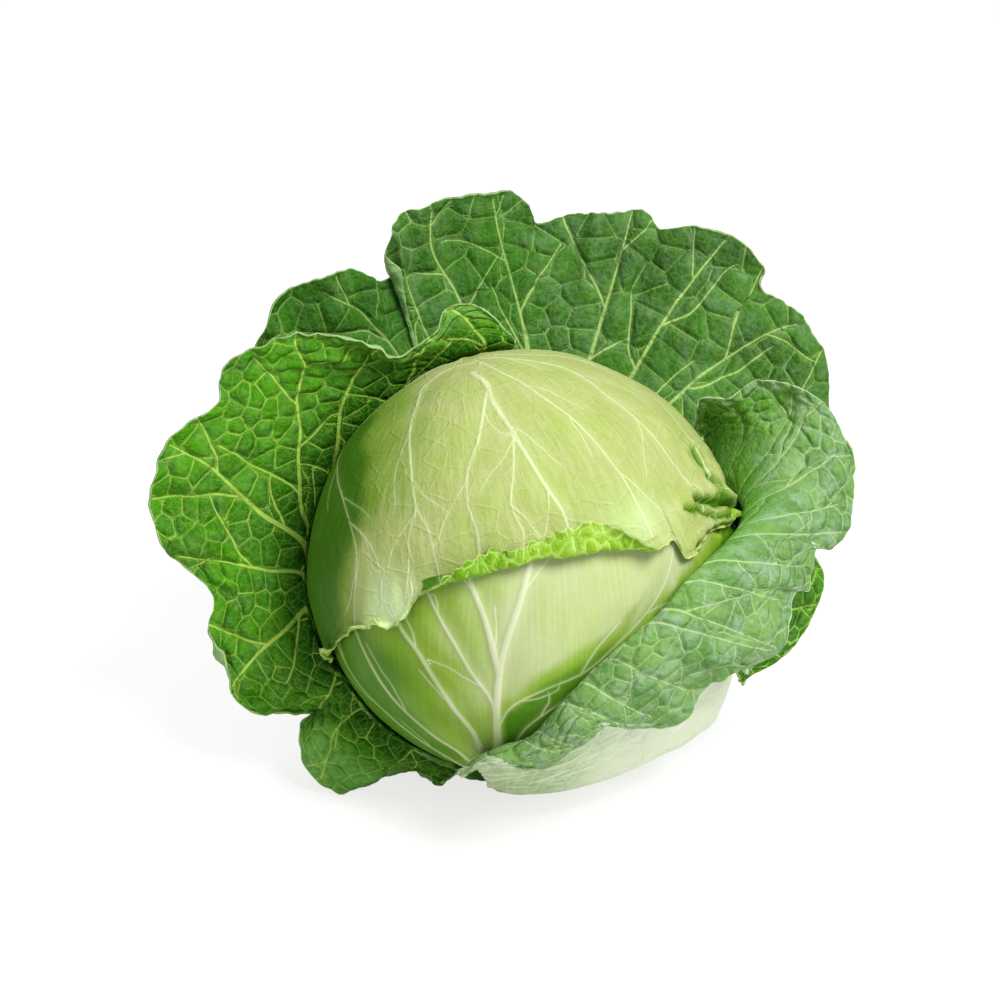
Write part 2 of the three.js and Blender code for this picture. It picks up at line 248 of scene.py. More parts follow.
def to_cells(places, clear, size, seed):
    """Distances to the walls of a net of cells about size wide, and the half width of each wall.

    The cells' seeds keep clear of the veins, so that the walls near a vein run along it or end at it.
    """
    draw = np.random.RandomState(seed)
    able = np.nonzero(clear > size * 0.34)[0]
    seeds, buckets = [], {}
    reach = size * 0.72
    for index in draw.permutation(able):
        spot = places[index]
        key = tuple(int(math.floor(c / reach)) for c in spot[:3])
        near = []
        for a in (-1, 0, 1):
            for b in (-1, 0, 1):
                for c in (-1, 0, 1):
                    near += buckets.get((key[0] + a, key[1] + b, key[2] + c), [])
        if near and (((places[near] - spot) ** 2).sum(1)).min() < reach * reach:
            continue
        buckets.setdefault(key, []).append(index)
        seeds.append(index)
    seeds = places[seeds]
    rank = draw.uniform(0, 1, len(seeds))
    side, gap, half = (np.empty(len(places)) for _ in range(3))
    for first in range(0, len(places), BATCH):
        part = slice(first, first + BATCH)
        p = places[part]
        far = (p**2).sum(1)[:, None] + (seeds**2).sum(1)[None] - 2 * p @ seeds.T
        two = np.argpartition(far, 1, axis=1)[:, :2]
        rows = np.arange(len(p))
        swap = far[rows, two[:, 0]] > far[rows, two[:, 1]]
        two[swap] = two[swap][:, ::-1]
        apart = np.linalg.norm(seeds[two[:, 0]] - seeds[two[:, 1]], axis=1)
        wall = (far[rows, two[:, 1]] - far[rows, two[:, 0]]) / (2 * apart)
        gap[part] = wall
        side[part] = np.where(two[:, 0] > two[:, 1], wall, -wall)
        half[part] = ((rank[two[:, 0]] + rank[two[:, 1]]) * 7.3) % 1.0
    return side, gap, half


def set_values(mesh, **values):
    for name, numbers in values.items():
        if name not in mesh.attributes:
            mesh.attributes.new(name, "FLOAT", "POINT")
        mesh.attributes[name].data.foreach_set("value", np.asarray(numbers, np.float32))


def values_of(mesh, name):
    numbers = np.empty(len(mesh.attributes[name].data), np.float32)
    mesh.attributes[name].data.foreach_get("value", numbers)
    return numbers.astype(float)


def places_of(mesh):
    flat = np.empty(len(mesh.vertices) * 3, np.float32)
    mesh.vertices.foreach_get("co", flat)
    return flat.reshape(-1, 3).astype(float)


def set_places(mesh, millimetres):
    """Puts a mesh's points at places measured in millimetres from the centre of the head."""
    metres = (millimetres + np.array([0, 0, HEAD_HEIGHT])) / 1000
    mesh.vertices.foreach_set("co", metres.astype(np.float32).ravel())
    mesh.update()


def round_vein(half, stops, radius, thin=0.3, steps=40):
    """A vein on the head: its centre line and its half width, which thins towards its end."""
    line = unit(rail([direction(*stop) for stop in stops])(np.linspace(0, 1, steps))) * radius
    return line, half + (half * thin - half) * np.linspace(0, 1, steps) ** 0.8


class Grown:
    """The veins grown so far, as points that a new vein stops at."""

    def __init__(self):
        self.points, self.owners = np.zeros((0, 3)), np.zeros(0, int)

    def add(self, line, owner):
        self.points = np.concatenate([self.points, line])
        self.owners = np.concatenate([self.owners, np.full(len(line), owner)])

    def meets(self, place, owner, parent, young, reach):
        """The point of another vein within reach, or None; a young vein may still be near its parent."""
        others = self.owners != owner
        if young:
            others &= self.owners != parent
        far = ((self.points - place) ** 2).sum(1)
        far[~others] = 1e9
        best = int(far.argmin())
        return self.points[best] if far[best] < reach * reach else None


def round_branches(veins, radius, seed, spacing, reach, angle, widest):
    """Side veins that leave the given veins by turns to the left and right, and end where they meet one."""
    draw = random.Random(seed)
    grown, taken = [], Grown()
    for parent, (line, _) in enumerate(veins):
        taken.add(line, parent)
    owner = len(veins)
    for parent, (line, widths) in enumerate(veins):
        step = np.linalg.norm(line[1] - line[0])
        gone, turn = draw.uniform(0.4, 1.0) * spacing, draw.choice((-1, 1))
        for i in range(1, len(line) - 2):
            gone += step
            if gone < spacing * draw.uniform(0.75, 1.3):
                continue
            gone, turn, owner = 0, -turn, owner + 1
            place, heading = line[i], unit(line[i + 1] - line[i])
            lean = math.radians(angle * draw.uniform(0.75, 1.25)) * turn
            stops = [place]
            for k in range(int(reach * draw.uniform(0.6, 1.2) / VEIN_STEP)):
                across = np.cross(unit(place), heading)
                onward = heading * math.cos(lean) + across * math.sin(lean)
                place = unit(place + onward * VEIN_STEP) * radius
                lean = lean * 0.97 + math.radians(draw.gauss(0, 5))
                met = taken.meets(place, owner, parent, k < 4, 2.6)
                stops.append(place if met is None else met)
                if met is not None:
                    break
            if len(stops) > 3:
                width = min(widest, widths[i] * 0.7)
                taken.add(np.array(stops), owner)
                grown.append((np.array(stops), np.linspace(width, width * 0.35, len(stops))))
    return grown


def dress_leaf(mesh, cells_at, normals, shown, veins, cell, seed, margin, tint):
    """Gives a leaf's points the distances that its skin is coloured by.

    Returns how far each point is from the nearest vein and from the nearest wall of the net.
    """
    clear = np.full(len(shown), 1e9)
    for kind, layer in zip(("vein", "twig"), in_two_layers(veins)):
        side, gap, half = to_veins(shown, normals, layer)
        set_values(mesh, **{kind + "_side": side, kind + "_gap": gap, kind + "_half": half})
        clear = np.minimum(clear, gap - half)
    net_side, net_gap, net_half = to_cells(cells_at, clear, cell, seed)
    set_values(mesh, net_side=net_side, net_gap=net_gap, net_half=net_half, margin=margin, tint=tint)
    return clear, net_gap


def line_group():
    """Node group: how strongly a vein shows, from the distances that the leaf's points carry."""
    group = bpy.data.node_groups.new("vein line", "ShaderNodeTree")
    for name, value in (("Side", 0.0), ("Gap", 0.0), ("Half width", 0.5), ("Softness", 0.2)):
        group.interface.new_socket(name, in_out="INPUT", socket_type="NodeSocketFloat").default_value = value
    group.interface.new_socket("Line", in_out="OUTPUT", socket_type="NodeSocketFloat")
    group.interface.new_socket("Distance", in_out="OUTPUT", socket_type="NodeSocketFloat")
    given = group.nodes.new("NodeGroupInput").outputs
    out = group.nodes.new("NodeGroupOutput").inputs
    far = maths(group, "ABSOLUTE", given["Side"])
    true_distance = maths(group, "MAXIMUM", far, maths(group, "SUBTRACT", given["Gap"], 0.8))
    beyond = maths(group, "SUBTRACT", true_distance, given["Half width"])
    line = maths(group, "SUBTRACT", 1.0, maths(group, "DIVIDE", beyond, given["Softness"]))
    line = add(group, "ShaderNodeClamp", {"Value": line}).outputs[0]
    group.links.new(line, out["Line"])
    group.links.new(true_distance, out["Distance"])
    return group


def skin_group():
    """Node group: a leaf's skin on both faces, with its veins, net, halo, bloom and pale edge.

    The carried tint runs from -1 to 1: below 0 it turns both faces to the pale colour, and above 0 the
    inner face to Tint and the outer one to Under middle and then to Under tint.
    """
    group = bpy.data.node_groups.new("leaf skin", "ShaderNodeTree")
    for name in ("Flesh", "Deep flesh", "Vein", "Under flesh", "Under middle", "Under vein", "Tint",
                 "Under tint", "Pale", "Edge"):
        group.interface.new_socket(name, in_out="INPUT", socket_type="NodeSocketColor")
    values = {"Net": 0.8, "Fine net": 0.25, "Halo": 0.3, "Bloom": 0.1, "Under net": 0.4, "Roughness": 0.45,
              "Relief": 1.0, "Net half width": 0.2, "Vein strength": 0.95, "Vein softness": 0.3,
              "Net relief": 1.0, "Streaks": 0.2, "Under across": 300.0, "Under along": 5.0,
              "Under veins": 0.95, "Under streaks": 0.2}
    for name, value in values.items():
        group.interface.new_socket(name, in_out="INPUT", socket_type="NodeSocketFloat").default_value = value
    group.interface.new_socket("Color", in_out="OUTPUT", socket_type="NodeSocketColor")
    for name in ("Roughness", "Height"):
        group.interface.new_socket(name, in_out="OUTPUT", socket_type="NodeSocketFloat")
    given = group.nodes.new("NodeGroupInput").outputs
    out = group.nodes.new("NodeGroupOutput").inputs
    place = add(group, "ShaderNodeTexCoord").outputs["Object"]
    shares = add(group, "ShaderNodeUVMap", uv_map="UVMap").outputs["UV"]

    def carried(name):
        made = add(group, "ShaderNodeAttribute", attribute_name=name, attribute_type="GEOMETRY")
        return made.outputs["Fac"]

    def times(first, *others):
        for other in others:
            first = maths(group, "MULTIPLY", first, other)
        return first

    def scaled(value, factor, offset):
        return maths(group, "MULTIPLY_ADD", value, factor, offset)

    def rise(value, low, high):
        return ramp(group, value, low, high)

    def cover(colour, share, over):
        return blend_colour(group, share, colour, over)

    def streaks_at(scale):
        stretched = add(group, "ShaderNodeVectorMath", {0: shares, 1: scale}, operation="MULTIPLY")
        return noise(group, stretched.outputs[0], 1.0, 2.0, 0.6)

    def line(side, gap, half, softness):
        made = group.nodes.new("ShaderNodeGroup")
        made.node_tree = bpy.data.node_groups["vein line"]
        for name, value in (("Side", side), ("Gap", gap), ("Half width", half), ("Softness", softness)):
            if isinstance(value, bpy.types.NodeSocket):
                group.links.new(value, made.inputs[name])
            else:
                made.inputs[name].default_value = value
        return made.outputs["Line"], made.outputs["Distance"]

    outer = rise(carried("outer"), 0.3, 0.7)
    veins, clear = [], []
    for kind in ("vein", "twig"):
        half = carried(kind + "_half")
        shown, far = line(carried(kind + "_side"), carried(kind + "_gap"), half, given["Vein softness"])
        veins.append(shown)
        clear.append(maths(group, "SUBTRACT", far, half))
    vein, beyond_vein = maths(group, "MAXIMUM", *veins), maths(group, "MINIMUM", *clear)
    strength = carried("net_half")
    net_width = times(scaled(strength, 1.3, 0.35), given["Net half width"])
    net, net_far = line(carried("net_side"), carried("net_gap"), net_width, 0.28)
    net = times(net, scaled(strength, 0.6, 0.4), rise(beyond_vein, 0.2, 1.4))
    patches = noise(group, place, 45.0, 2.0, 0.6)
    mottle = noise(group, place, 420.0, 2.0, 0.65)
    streak = streaks_at((300, 5, 0))
    under_scale = add(group, "ShaderNodeCombineXYZ", {0: given["Under across"], 1: given["Under along"]})
    under_streak = streaks_at(under_scale.outputs[0])
    cells = add(group, "ShaderNodeTexVoronoi", {"Vector": place, "Scale": 290.0}, feature="DISTANCE_TO_EDGE")
    fine = cells.outputs["Distance"]
    fine_line = times(rise(fine, 0.075, 0.01), scaled(patches, 1.2, -0.1), rise(beyond_vein, 0.0, 1.0))
    halo = maths(group, "MAXIMUM", rise(beyond_vein, 2.6, 0.0), times(rise(net_far, 1.1, 0.1), 0.6))

    tint = carried("tint")
    green, pale = rise(tint, 0.0, 1.0), rise(tint, 0.0, -1.0)
    plain, shaded = scaled(green, -0.85, 1.0), scaled(green, -0.4, 1.0)
    flesh = cover(given["Flesh"], rise(patches, 0.34, 0.66), given["Deep flesh"])
    flesh = cover(flesh, maths(group, "MAXIMUM", tint, 0.0), given["Tint"])
    flesh = cover(flesh, pale, given["Pale"])
    flesh = cover(flesh, times(rise(mottle, 0.35, 0.75), 0.14, plain), given["Vein"])
    streaks = times(given["Streaks"], scaled(green, 0.7, 0.4))
    flesh = cover(flesh, times(rise(streak, 0.45, 0.8), streaks), given["Vein"])
    flesh = cover(flesh, times(halo, given["Halo"], plain), given["Vein"])
    bloom = rise(noise(group, place, 120.0, 3.0, 0.7), 0.4, 0.7)
    flesh = cover(flesh, times(bloom, given["Bloom"], plain), BLOOM)
    flesh = cover(flesh, times(fine_line, given["Fine net"]), given["Vein"])
    flesh = cover(flesh, times(net, given["Net"]), given["Vein"])
    flesh = cover(flesh, times(vein, shaded, given["Vein strength"]), given["Vein"])

    under = cover(given["Under flesh"], times(rise(patches, 0.3, 0.7), 0.35), given["Flesh"])
    under = cover(under, rise(tint, 0.0, 0.55), given["Under middle"])
    under = cover(under, rise(tint, 0.5, 1.0), given["Under tint"])
    under = cover(under, pale, given["Pale"])
    under_lines = times(rise(under_streak, 0.45, 0.62), given["Under streaks"], plain)
    under = cover(under, under_lines, given["Under vein"])
    vein_colour = cover(given["Under vein"], times(rise(tint, 0.2, 1.0), 0.5), given["Under middle"])
    vein_colour = cover(vein_colour, pale, PALE_VEIN)
    under = cover(under, times(rise(mottle, 0.3, 0.7), 0.08, plain), vein_colour)
    under_net = maths(group, "MAXIMUM", net, times(fine_line, 0.5))
    under = cover(under, times(under_net, given["Under net"], plain), vein_colour)
    near_vein = maths(group, "MAXIMUM", times(rise(beyond_vein, 1.8, 0.0), 0.22),
                      times(rise(beyond_vein, 7.0, 0.0), 0.16, plain))
    soft_vein = times(maths(group, "MAXIMUM", vein, near_vein), given["Under veins"],
                      scaled(rise(patches, 0.3, 0.7), 0.3, 0.72))
    under = cover(under, soft_vein, vein_colour)

    colour = cover(flesh, outer, under)
    colour = cover(colour, times(rise(carried("margin"), 0.9, 0.3), 0.8), given["Edge"])
    group.links.new(colour, out["Color"])
    rough = maths(group, "ADD", given["Roughness"], scaled(mottle, 0.24, -0.12))
    group.links.new(rough, out["Roughness"])

    by_vein = times(rise(beyond_vein, 0.0, 2.5), 0.45)
    puffs = maths(group, "ADD", times(rise(net_far, 0.0, 2.6), 0.6), by_vein)
    puffs = maths(group, "ADD", puffs, times(rise(fine, 0.0, 0.28), 0.16))
    upper = maths(group, "ADD", times(puffs, given["Net relief"]), times(mottle, 0.3))
    ridges = maths(group, "ADD", times(rise(net_far, 0.9, 0.0), 0.2), times(rise(fine, 0.16, 0.0), 0.05))
    lower = maths(group, "ADD", times(ridges, given["Net relief"]), times(mottle, 0.22))
    height = add(group, "ShaderNodeMix", {0: outer, 2: upper, 3: lower}).outputs[0]
    under_rise = times(under_streak, given["Under streaks"])
    lines = add(group, "ShaderNodeMix", {0: outer, 2: times(streak, streaks), 3: under_rise}).outputs[0]
    height = maths(group, "ADD", height, lines)
    group.links.new(times(height, given["Relief"]), out["Height"])
    return group


line_group()
skin_group()


def leaf_finish(name, sockets=None, **inputs):
    """A leaf's material: the skin group with its own colours, and a shader with a waxy gloss."""
    settings = {"IOR": 1.40, "Specular IOR Level": 0.14, "Specular Tint": (0.65, 1.0, 0.35, 1),
                "Coat Weight": 0.0, "Coat Roughness": 0.3, "Coat Tint": (0.85, 1.0, 0.7, 1)}
    settings.update(sockets or {})
    middle = [(a + b) / 2 for a, b in zip(inputs["Under_flesh"], inputs["Under_tint"])]
    inputs.setdefault("Under_middle", middle)
    inputs.setdefault("Pale", inputs["Under_vein"])
    made, tree, shader = new_material(name)
    for socket, value in settings.items():
        shader.inputs[socket].default_value = value
    skin = tree.nodes.new("ShaderNodeGroup")
    skin.node_tree = bpy.data.node_groups["leaf skin"]
    for socket, value in inputs.items():
        skin.inputs[socket.replace("_", " ")].default_value = value
    tree.links.new(skin.outputs["Color"], shader.inputs["Base Color"])
    tree.links.new(skin.outputs["Roughness"], shader.inputs["Roughness"])
    depth = {"Height": skin.outputs["Height"], "Strength": 1.0, "Distance": 0.001}
    bump = add(tree, "ShaderNodeBump", depth)
    tree.links.new(bump.outputs[0], shader.inputs["Normal"])
    return made


def grid_of(name, columns, rows):
    """A flat grid, and its points' shares across and along the leaf it will become."""
    bpy.ops.object.select_all(action="DESELECT")
    bpy.ops.mesh.primitive_grid_add(
        x_subdivisions=columns, y_subdivisions=rows, size=1.0, location=(0, 0, 0))
    made = bpy.context.object
    made.name = name
    flat = places_of(made.data)
    return made, np.clip(flat[:, 0] + 0.5, 0, 1), np.clip(flat[:, 1] + 0.5, 0, 1)


def up_in_view(places):
    """How far up places are seen from the front, from 25 degrees above."""
    return places[:, 1] * 0.42 + places[:, 2] * 0.91


def close_seams():
    """Merges the edges of the grid in hand where it meets itself."""
    bpy.ops.object.mode_set(mode="EDIT")
    bpy.ops.mesh.select_all(action="SELECT")
    bpy.ops.mesh.remove_doubles(threshold=0.00002)
    bpy.ops.object.mode_set(mode="OBJECT")


packed, u, v = grid_of("packed_inner_leaves", 400, 212)
compass = np.interp(u, (0, 0.68, 1), (200, 340, 560)) % 360  # most columns cross the front
latitude = np.interp(v, (0, 0.08, 0.86, 1), (-90, -66, 50, 90))
ways = direction(compass, latitude)
front_veins = [round_vein(half, stops, PACKED_RADIUS, 0.35) for half, stops in FRONT_RIBS]
front_veins += round_branches(
    front_veins, PACKED_RADIUS, seed=5, spacing=30.0, reach=30.0, angle=24.0, widest=0.12)
front_side = smooth(compass, 178, 186) * (1 - smooth(compass, 354, 359))
lies = ways * PACKED_RADIUS
margin = np.full(len(ways), 99.0)
turned = np.where(compass > 180, compass - 360, compass)
# Painted shade: a dark green band on the front leaf just above where the right leaf lies against it.
right_leaf_shade_line = np.interp(turned, (-93, -88, -82, -75, -67, -57, -45, -29), (-12, -6, 0, 6, 11, 15, 18, 20))
shade_by_right_leaf = 1.1 - 1.1 * smooth(latitude - right_leaf_shade_line, -10, 8)
# Deeper green towards the left and the bottom: partly the leaf's own colour, partly painted shade.
left_green_and_shade = 0.2 + 0.65 * smooth(-turned, 98, 135) + 0.22 * (1 - smooth(latitude, -30, 8))
tint = left_green_and_shade + (shade_by_right_leaf - left_green_and_shade) * smooth(turned, -99, -93)
tint = tint + wobble(lies, 26, 6) * 0.12 * smooth(tint, 0, 0.3)
# Painted highlight: a pale, streaky patch on the front right of the front leaf.
painted_highlight = np.exp(-(((turned + 62) / 24) ** 2) - ((latitude - 18) / 17) ** 2) * smooth(turned, -93, -84)
leaning = np.stack([(turned - latitude) * 0.9, (turned + latitude) * 0.2], -1)
tint -= painted_highlight * (0.72 + 0.16 * wobble(leaning, 12, 7) + 0.12 * wobble(leaning, 4, 8))
clear_vein, _ = dress_leaf(
    packed.data, lies, ways, lies, front_veins, 13.0, 11, margin, np.clip(tint, -1, 1))
ribs = np.zeros(len(ways))
for kind in ("vein", "twig"):
    rib_gap, rib_half = values_of(packed.data, kind + "_gap"), values_of(packed.data, kind + "_half")
    ribs = np.maximum(ribs, np.exp(-(rib_gap / (0.7 + rib_half * 1.1)) ** 2) * np.clip(rib_half, 0, 2.4))
pillow = smooth(clear_vein, 0, 9) * 0.7
height = PACKED_RADIUS + FRONT_LEAF_RISE * front_side * (1 - smooth(latitude, 62, 68))
height += (ribs * 0.95 + pillow - 0.9) * front_side + wobble(lies, 42, 3) * 0.5 + wobble(lies, 16, 4) * 0.12
flap = np.hypot(80 - lies[:, 0], up_in_view(lies) - 13) + 60 * smooth(lies[:, 1], 0, 30)
flap = 1 - smooth(flap + wobble(lies, 9, 9) * 1.5, 4, 8)  # a small fold at the right, below the pinch
height += flap * (1.6 + 1.5 * wobble(lies, 5, 10))
set_places(packed.data, ways * height[:, None])
# Painted shade: the small fold below the pinch is turned dark green.
set_values(packed.data, tint=np.maximum(tint, flap * (0.85 + 0.25 * wobble(lies, 5, 10))))
set_values(packed.data, outer=np.ones(len(ways)))
close_seams()
packed.data.shade_smooth()
packed.data.materials.append(leaf_finish(
    "pale_front_leaf", {"Coat Weight": 0.05, "Coat Roughness": 0.26},
    Flesh=(0.42, 0.58, 0.10, 1), Deep_flesh=(0.33, 0.50, 0.06, 1), Vein=(0.80, 0.86, 0.48, 1),
    Under_flesh=(0.52, 0.60, 0.28, 1), Under_middle=(0.27, 0.45, 0.024, 1), Under_vein=(0.78, 0.80, 0.56, 1),
    Edge=(0.7, 0.8, 0.4, 1), Tint=(0.10, 0.24, 0.005, 1), Under_tint=(0.075, 0.23, 0.003, 1),
    Under_net=0.04, Roughness=0.38, Relief=0.5, Net_relief=0.0, Vein_softness=0.5, Under_streaks=0.13,
    Under_across=210.0, Under_along=6.0))
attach(packed, "root")
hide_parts("packed_head")

# The top leaf: comes up the back of the head and lies over its top. Its veins fan out from a crown at the
# top left. Its edge crosses the front, where it is rolled outwards and up so that its bright inner face
# shows, and at the right it is pinched into small folds, their creases darkened with painted shade.
TOP_LEAF_RADIUS = 88.0
CROWN = (-23, 22, 81)
TOP_LEAF_EDGE = [
    (88, 4, 23), (83, -10, 27), (73, -34, 35), (61, -54, 33), (56, -53, 41), (45, -63, 42), (22, -73, 44),
    (2, -77, 42), (-23, -77, 36), (-41, -72, 29), (-49, -71, 14), (-67, -57, 4), (-75, -44, -8),
    (-82, -22, -30), (-78, 14, -40), (-58, 44, -54), (-22, 34, -78), (0, 22, -85), (26, 38, -76),
    (60, 54, -40), (82, 30, 4),
]
FOLD_RADIUS = 1.9
FOLD_LENGTH = 15.0
FOLD_ENDS = (0.115, 0.185, 0.265, 0.325)  # shares round the leaf where the roll grows and dies out
FOLD_FROM = 0.75  # the share of the leaf, from its crown, where the roll starts
PINCH = (90, 20)  # to the right, and up in the view from the front
PINCH_FOLDS = [  # half width and depth of each fold, and its way left and up from the pinch
    (1.2, 4.5, [(0, -1), (4, 2), (9, 4), (16, 6.5), (23, 8)]),
    (1.0, 3.5, [(9, 5), (12, 8), (14, 12), (18, 18), (24, 27)]),
    (1.1, 4.0, [(10, 4), (9.5, 1), (9, -3), (6, -5)]),
    (0.9, 2.2, [(12, 1), (17, 1), (21, 3), (28, 4)]),
    (1.0, 2.2, [(5, 4), (8, 11), (11, 19), (14, 30)]),
    (1.0, 2.0, [(8, -3), (13, -3), (18, -6), (22, -11)]),
]
TOP_VEINS = [
    (0.95, [(-180, 76), (-140, 77), (-122, 73), (-98, 63), (-87, 52), (-82, 45), (-78, 39), (-77, 30)]),
    (0.5, [(-131, 75), (-114, 59), (-113, 49), (-111, 44), (-109, 40), (-106, 36), (-104, 32), (-103, 25)]),
    (0.35, [(-97, 62), (-95, 51), (-95, 42), (-93, 38), (-91, 35), (-91, 28)]),
    (0.55, [(150, 74), (160, 66), (175, 62), (-171, 61), (-154, 55), (-140, 48), (-131, 41), (-127, 37),
            (-120, 32), (-114, 21)]),
    (0.35, [(-127, 37), (-126, 30), (-124, 23), (-123, 14)]),
    (0.5, [(142, 68), (150, 50), (159, 43), (168, 34), (-173, 31), (-160, 29), (-151, 26), (-144, 21),
           (-141, 14), (-140, 2)]),
    (0.35, [(-151, 26), (-142, 25), (-136, 22), (-132, 17), (-130, 8)]),
    (0.4, [(143, 73), (-161, 83), (-81, 78), (-60, 65), (-55, 51), (-52, 39), (-51, 29)]),
    (0.5, [(138, 74), (105, 85), (9, 79), (-21, 66), (-26, 51), (-27, 42), (-26, 33), (-27, 24)]),
    (0.4, [(130, 74), (90, 80), (51, 72), (20, 60), (-2, 44), (-9, 30), (0, 17)]),
    (0.9, [(136, 66), (110, 52), (95, 30), (90, 0), (88, -30), (88, -60), (88, -75)]),
    (0.7, [(120, 66), (85, 54), (60, 36), (46, 12), (40, -12), (46, -36)]),
    (0.7, [(142, 62), (146, 36), (150, 10), (146, -14), (136, -40)]),
    (0.7, [(146, 60), (166, 30), (176, 4), (172, -20)]),
    (0.4, [(110, 68), (60, 66), (30, 50), (20, 30), (22, 8), (26, -10)]),
]


def normals_of(surface, u, v, step=0.002):
    across = surface(np.clip(u + step, 0, 1), v) - surface(np.clip(u - step, 0, 1), v)
    along = surface(u, np.clip(v + step, 0, 1)) - surface(u, np.clip(v - step, 0, 1))
    return unit(np.cross(across, along))


def thicken(piece, normals, blade, edge, margin):
    """Gives a leaf its thickness, thinner at the edge, and marks its outer face."""
    mesh = piece.data
    count = len(mesh.vertices)
    before = places_of(mesh)
    group = piece.vertex_groups.new(name="blade")
    share = edge / blade + (1 - edge / blade) * smooth(margin, 0, 14)
    levels = np.round(share * 12).astype(int)
    for level in np.unique(levels):
        group.add(np.nonzero(levels == level)[0].tolist(), level / 12, "REPLACE")
    bpy.ops.object.select_all(action="DESELECT")
    piece.select_set(True)
    bpy.context.view_layer.objects.active = piece
    shell = piece.modifiers.new("blade", "SOLIDIFY")
    shell.thickness, shell.offset, shell.vertex_group = blade / 1000, 0.0, "blade"
    bpy.ops.object.modifier_apply(modifier=shell.name)
    after = places_of(mesh)
    outer = np.zeros(len(after))
    lifted = ((after[:count] - before) * normals).sum(1)
    if lifted.mean() > 0:
        outer[:count] = 1
    else:
        outer[count:] = 1
    set_values(mesh, outer=outer)
    return outer


def raise_ribs(piece, normals, outer, amount):
    """Raises the veins on the outer face."""
    mesh = piece.data
    both = np.concatenate([normals, normals])[: len(outer)]
    lift = np.zeros(len(outer))
    for kind in ("vein", "twig"):
        gap, half = values_of(mesh, kind + "_gap"), values_of(mesh, kind + "_half")
        lift = np.maximum(lift, amount * np.clip(half, 0, 1.6) * np.exp(-(gap / (0.7 + half)) ** 2) * outer)
    raised = places_of(mesh) + both * lift[:, None] / 1000
    mesh.vertices.foreach_set("co", raised.astype(np.float32).ravel())
    mesh.update()


def finish_leaf(piece, material, node):
    mesh = piece.data
    mesh.shade_smooth()
    mesh.materials.clear()
    mesh.materials.append(material)
    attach(piece, "root")
    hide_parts(node)


top_rail = rail(TOP_LEAF_EDGE, closed=True)
crown_way = unit(np.array(CROWN, float))


def fold_at(u):
    return smooth(u, *FOLD_ENDS[:2]) * (1 - smooth(u, *FOLD_ENDS[2:]))


def curl_at(u):
    corner = smooth(u, 0.315, 0.34) * (1 - smooth(u, 0.452, 0.47))
    return corner + 1 - smooth(np.abs((u + 0.5) % 1 - 0.522), 0.018, 0.034)


def top_surface(u, v):
    edge = unit(top_rail(u % 1.0))
    axis = unit(np.cross(crown_way, edge))
    angle = np.arccos(np.clip(edge @ crown_way, -1, 1)) * np.minimum(1, v / FOLD_FROM)
    outward = crown_way * np.cos(angle)[:, None] + np.cross(axis, crown_way) * np.sin(angle)[:, None]
    onward = np.cross(axis, outward)
    around = np.stack([np.cos(u * 2 * math.pi), np.sin(u * 2 * math.pi)], -1) * 94
    fold, curl = fold_at(u), curl_at(u) * np.clip(0.35 + 0.9 * wobble(around, 11, 36), 0, 1)
    ragged = 1 + 0.13 * wobble(around, 17, 31) + 0.10 * wobble(around, 6, 32) + 0.04 * wobble(around, 3, 33)
    narrower = 1 - 0.32 * smooth(u, 0.16, 0.24)
    length = (3 + (FOLD_LENGTH * narrower - 3) * fold + 2.2 * curl) * ragged
    length = length * np.clip((v - FOLD_FROM) / (1 - FOLD_FROM), 0, 1)
    amount = np.maximum(np.maximum(fold, curl * 0.8), 0.001)
    radius = FOLD_RADIUS * (0.6 + 0.4 * np.maximum(fold, 1 - curl)) * (1 + 0.25 * wobble(around, 16, 34))
    bent = np.minimum(length, math.pi * radius)
    turn = amount * bent / radius
    straight = length - bent
    ahead = radius / amount * np.sin(turn) + straight * np.cos(turn)
    off = radius / amount * (1 - np.cos(turn)) + straight * np.sin(turn)
    return outward * (TOP_LEAF_RADIUS + off)[:, None] + onward * ahead[:, None]


top_leaf, u, v = grid_of("top_leaf", 370, 130)
u = np.where(u < 0.7, u / 0.7 * 0.57, 0.57 + (u - 0.7) / 0.3 * 0.43) - 0.05
v = np.where(v < 0.7, v / 0.7 * FOLD_FROM, FOLD_FROM + (v - 0.7) / 0.3 * (1 - FOLD_FROM))
lies = top_surface(u, v)
step = 0.002
across = top_surface(u + step, v) - top_surface(u - step, v)
along = top_surface(u, np.minimum(v + step, 1)) - top_surface(u, np.maximum(v - step, 0))
normals = unit(np.cross(along, across))
normals *= np.sign((normals[(v > 0.3) & (v < 0.5)] * lies[(v > 0.3) & (v < 0.5)]).sum())
normals[v < 0.02] = unit(lies[v < 0.02])
top_veins = [round_vein(half, stops, TOP_LEAF_RADIUS, 0.4) for half, stops in TOP_VEINS]
top_veins += round_branches(
    top_veins, TOP_LEAF_RADIUS, seed=17, spacing=30.0, reach=30.0, angle=30.0, widest=0.1)
margin = (1 - v) / (1 - FOLD_FROM) * (3 + (FOLD_LENGTH - 3) * fold_at(u))
margin = np.where(v < FOLD_FROM, margin + (FOLD_FROM - v) * 120, margin)
leftward = -lies[:, 0] / TOP_LEAF_RADIUS + wobble(lies, 34, 47) * 0.05
# Darker green towards the left: partly the leaf's own colour, partly painted shade.
tint = 0.5 * smooth(leftward, 0.3, 0.66) + 0.65 * smooth(leftward, 0.64, 0.84)
# Painted light: the front left of the leaf, which lies in shade, is turned pale.
tint -= np.exp(-(((lies - np.array((-54, -62, 8))) / np.array((20, 32, 30))) ** 2).sum(1)) * 1.3
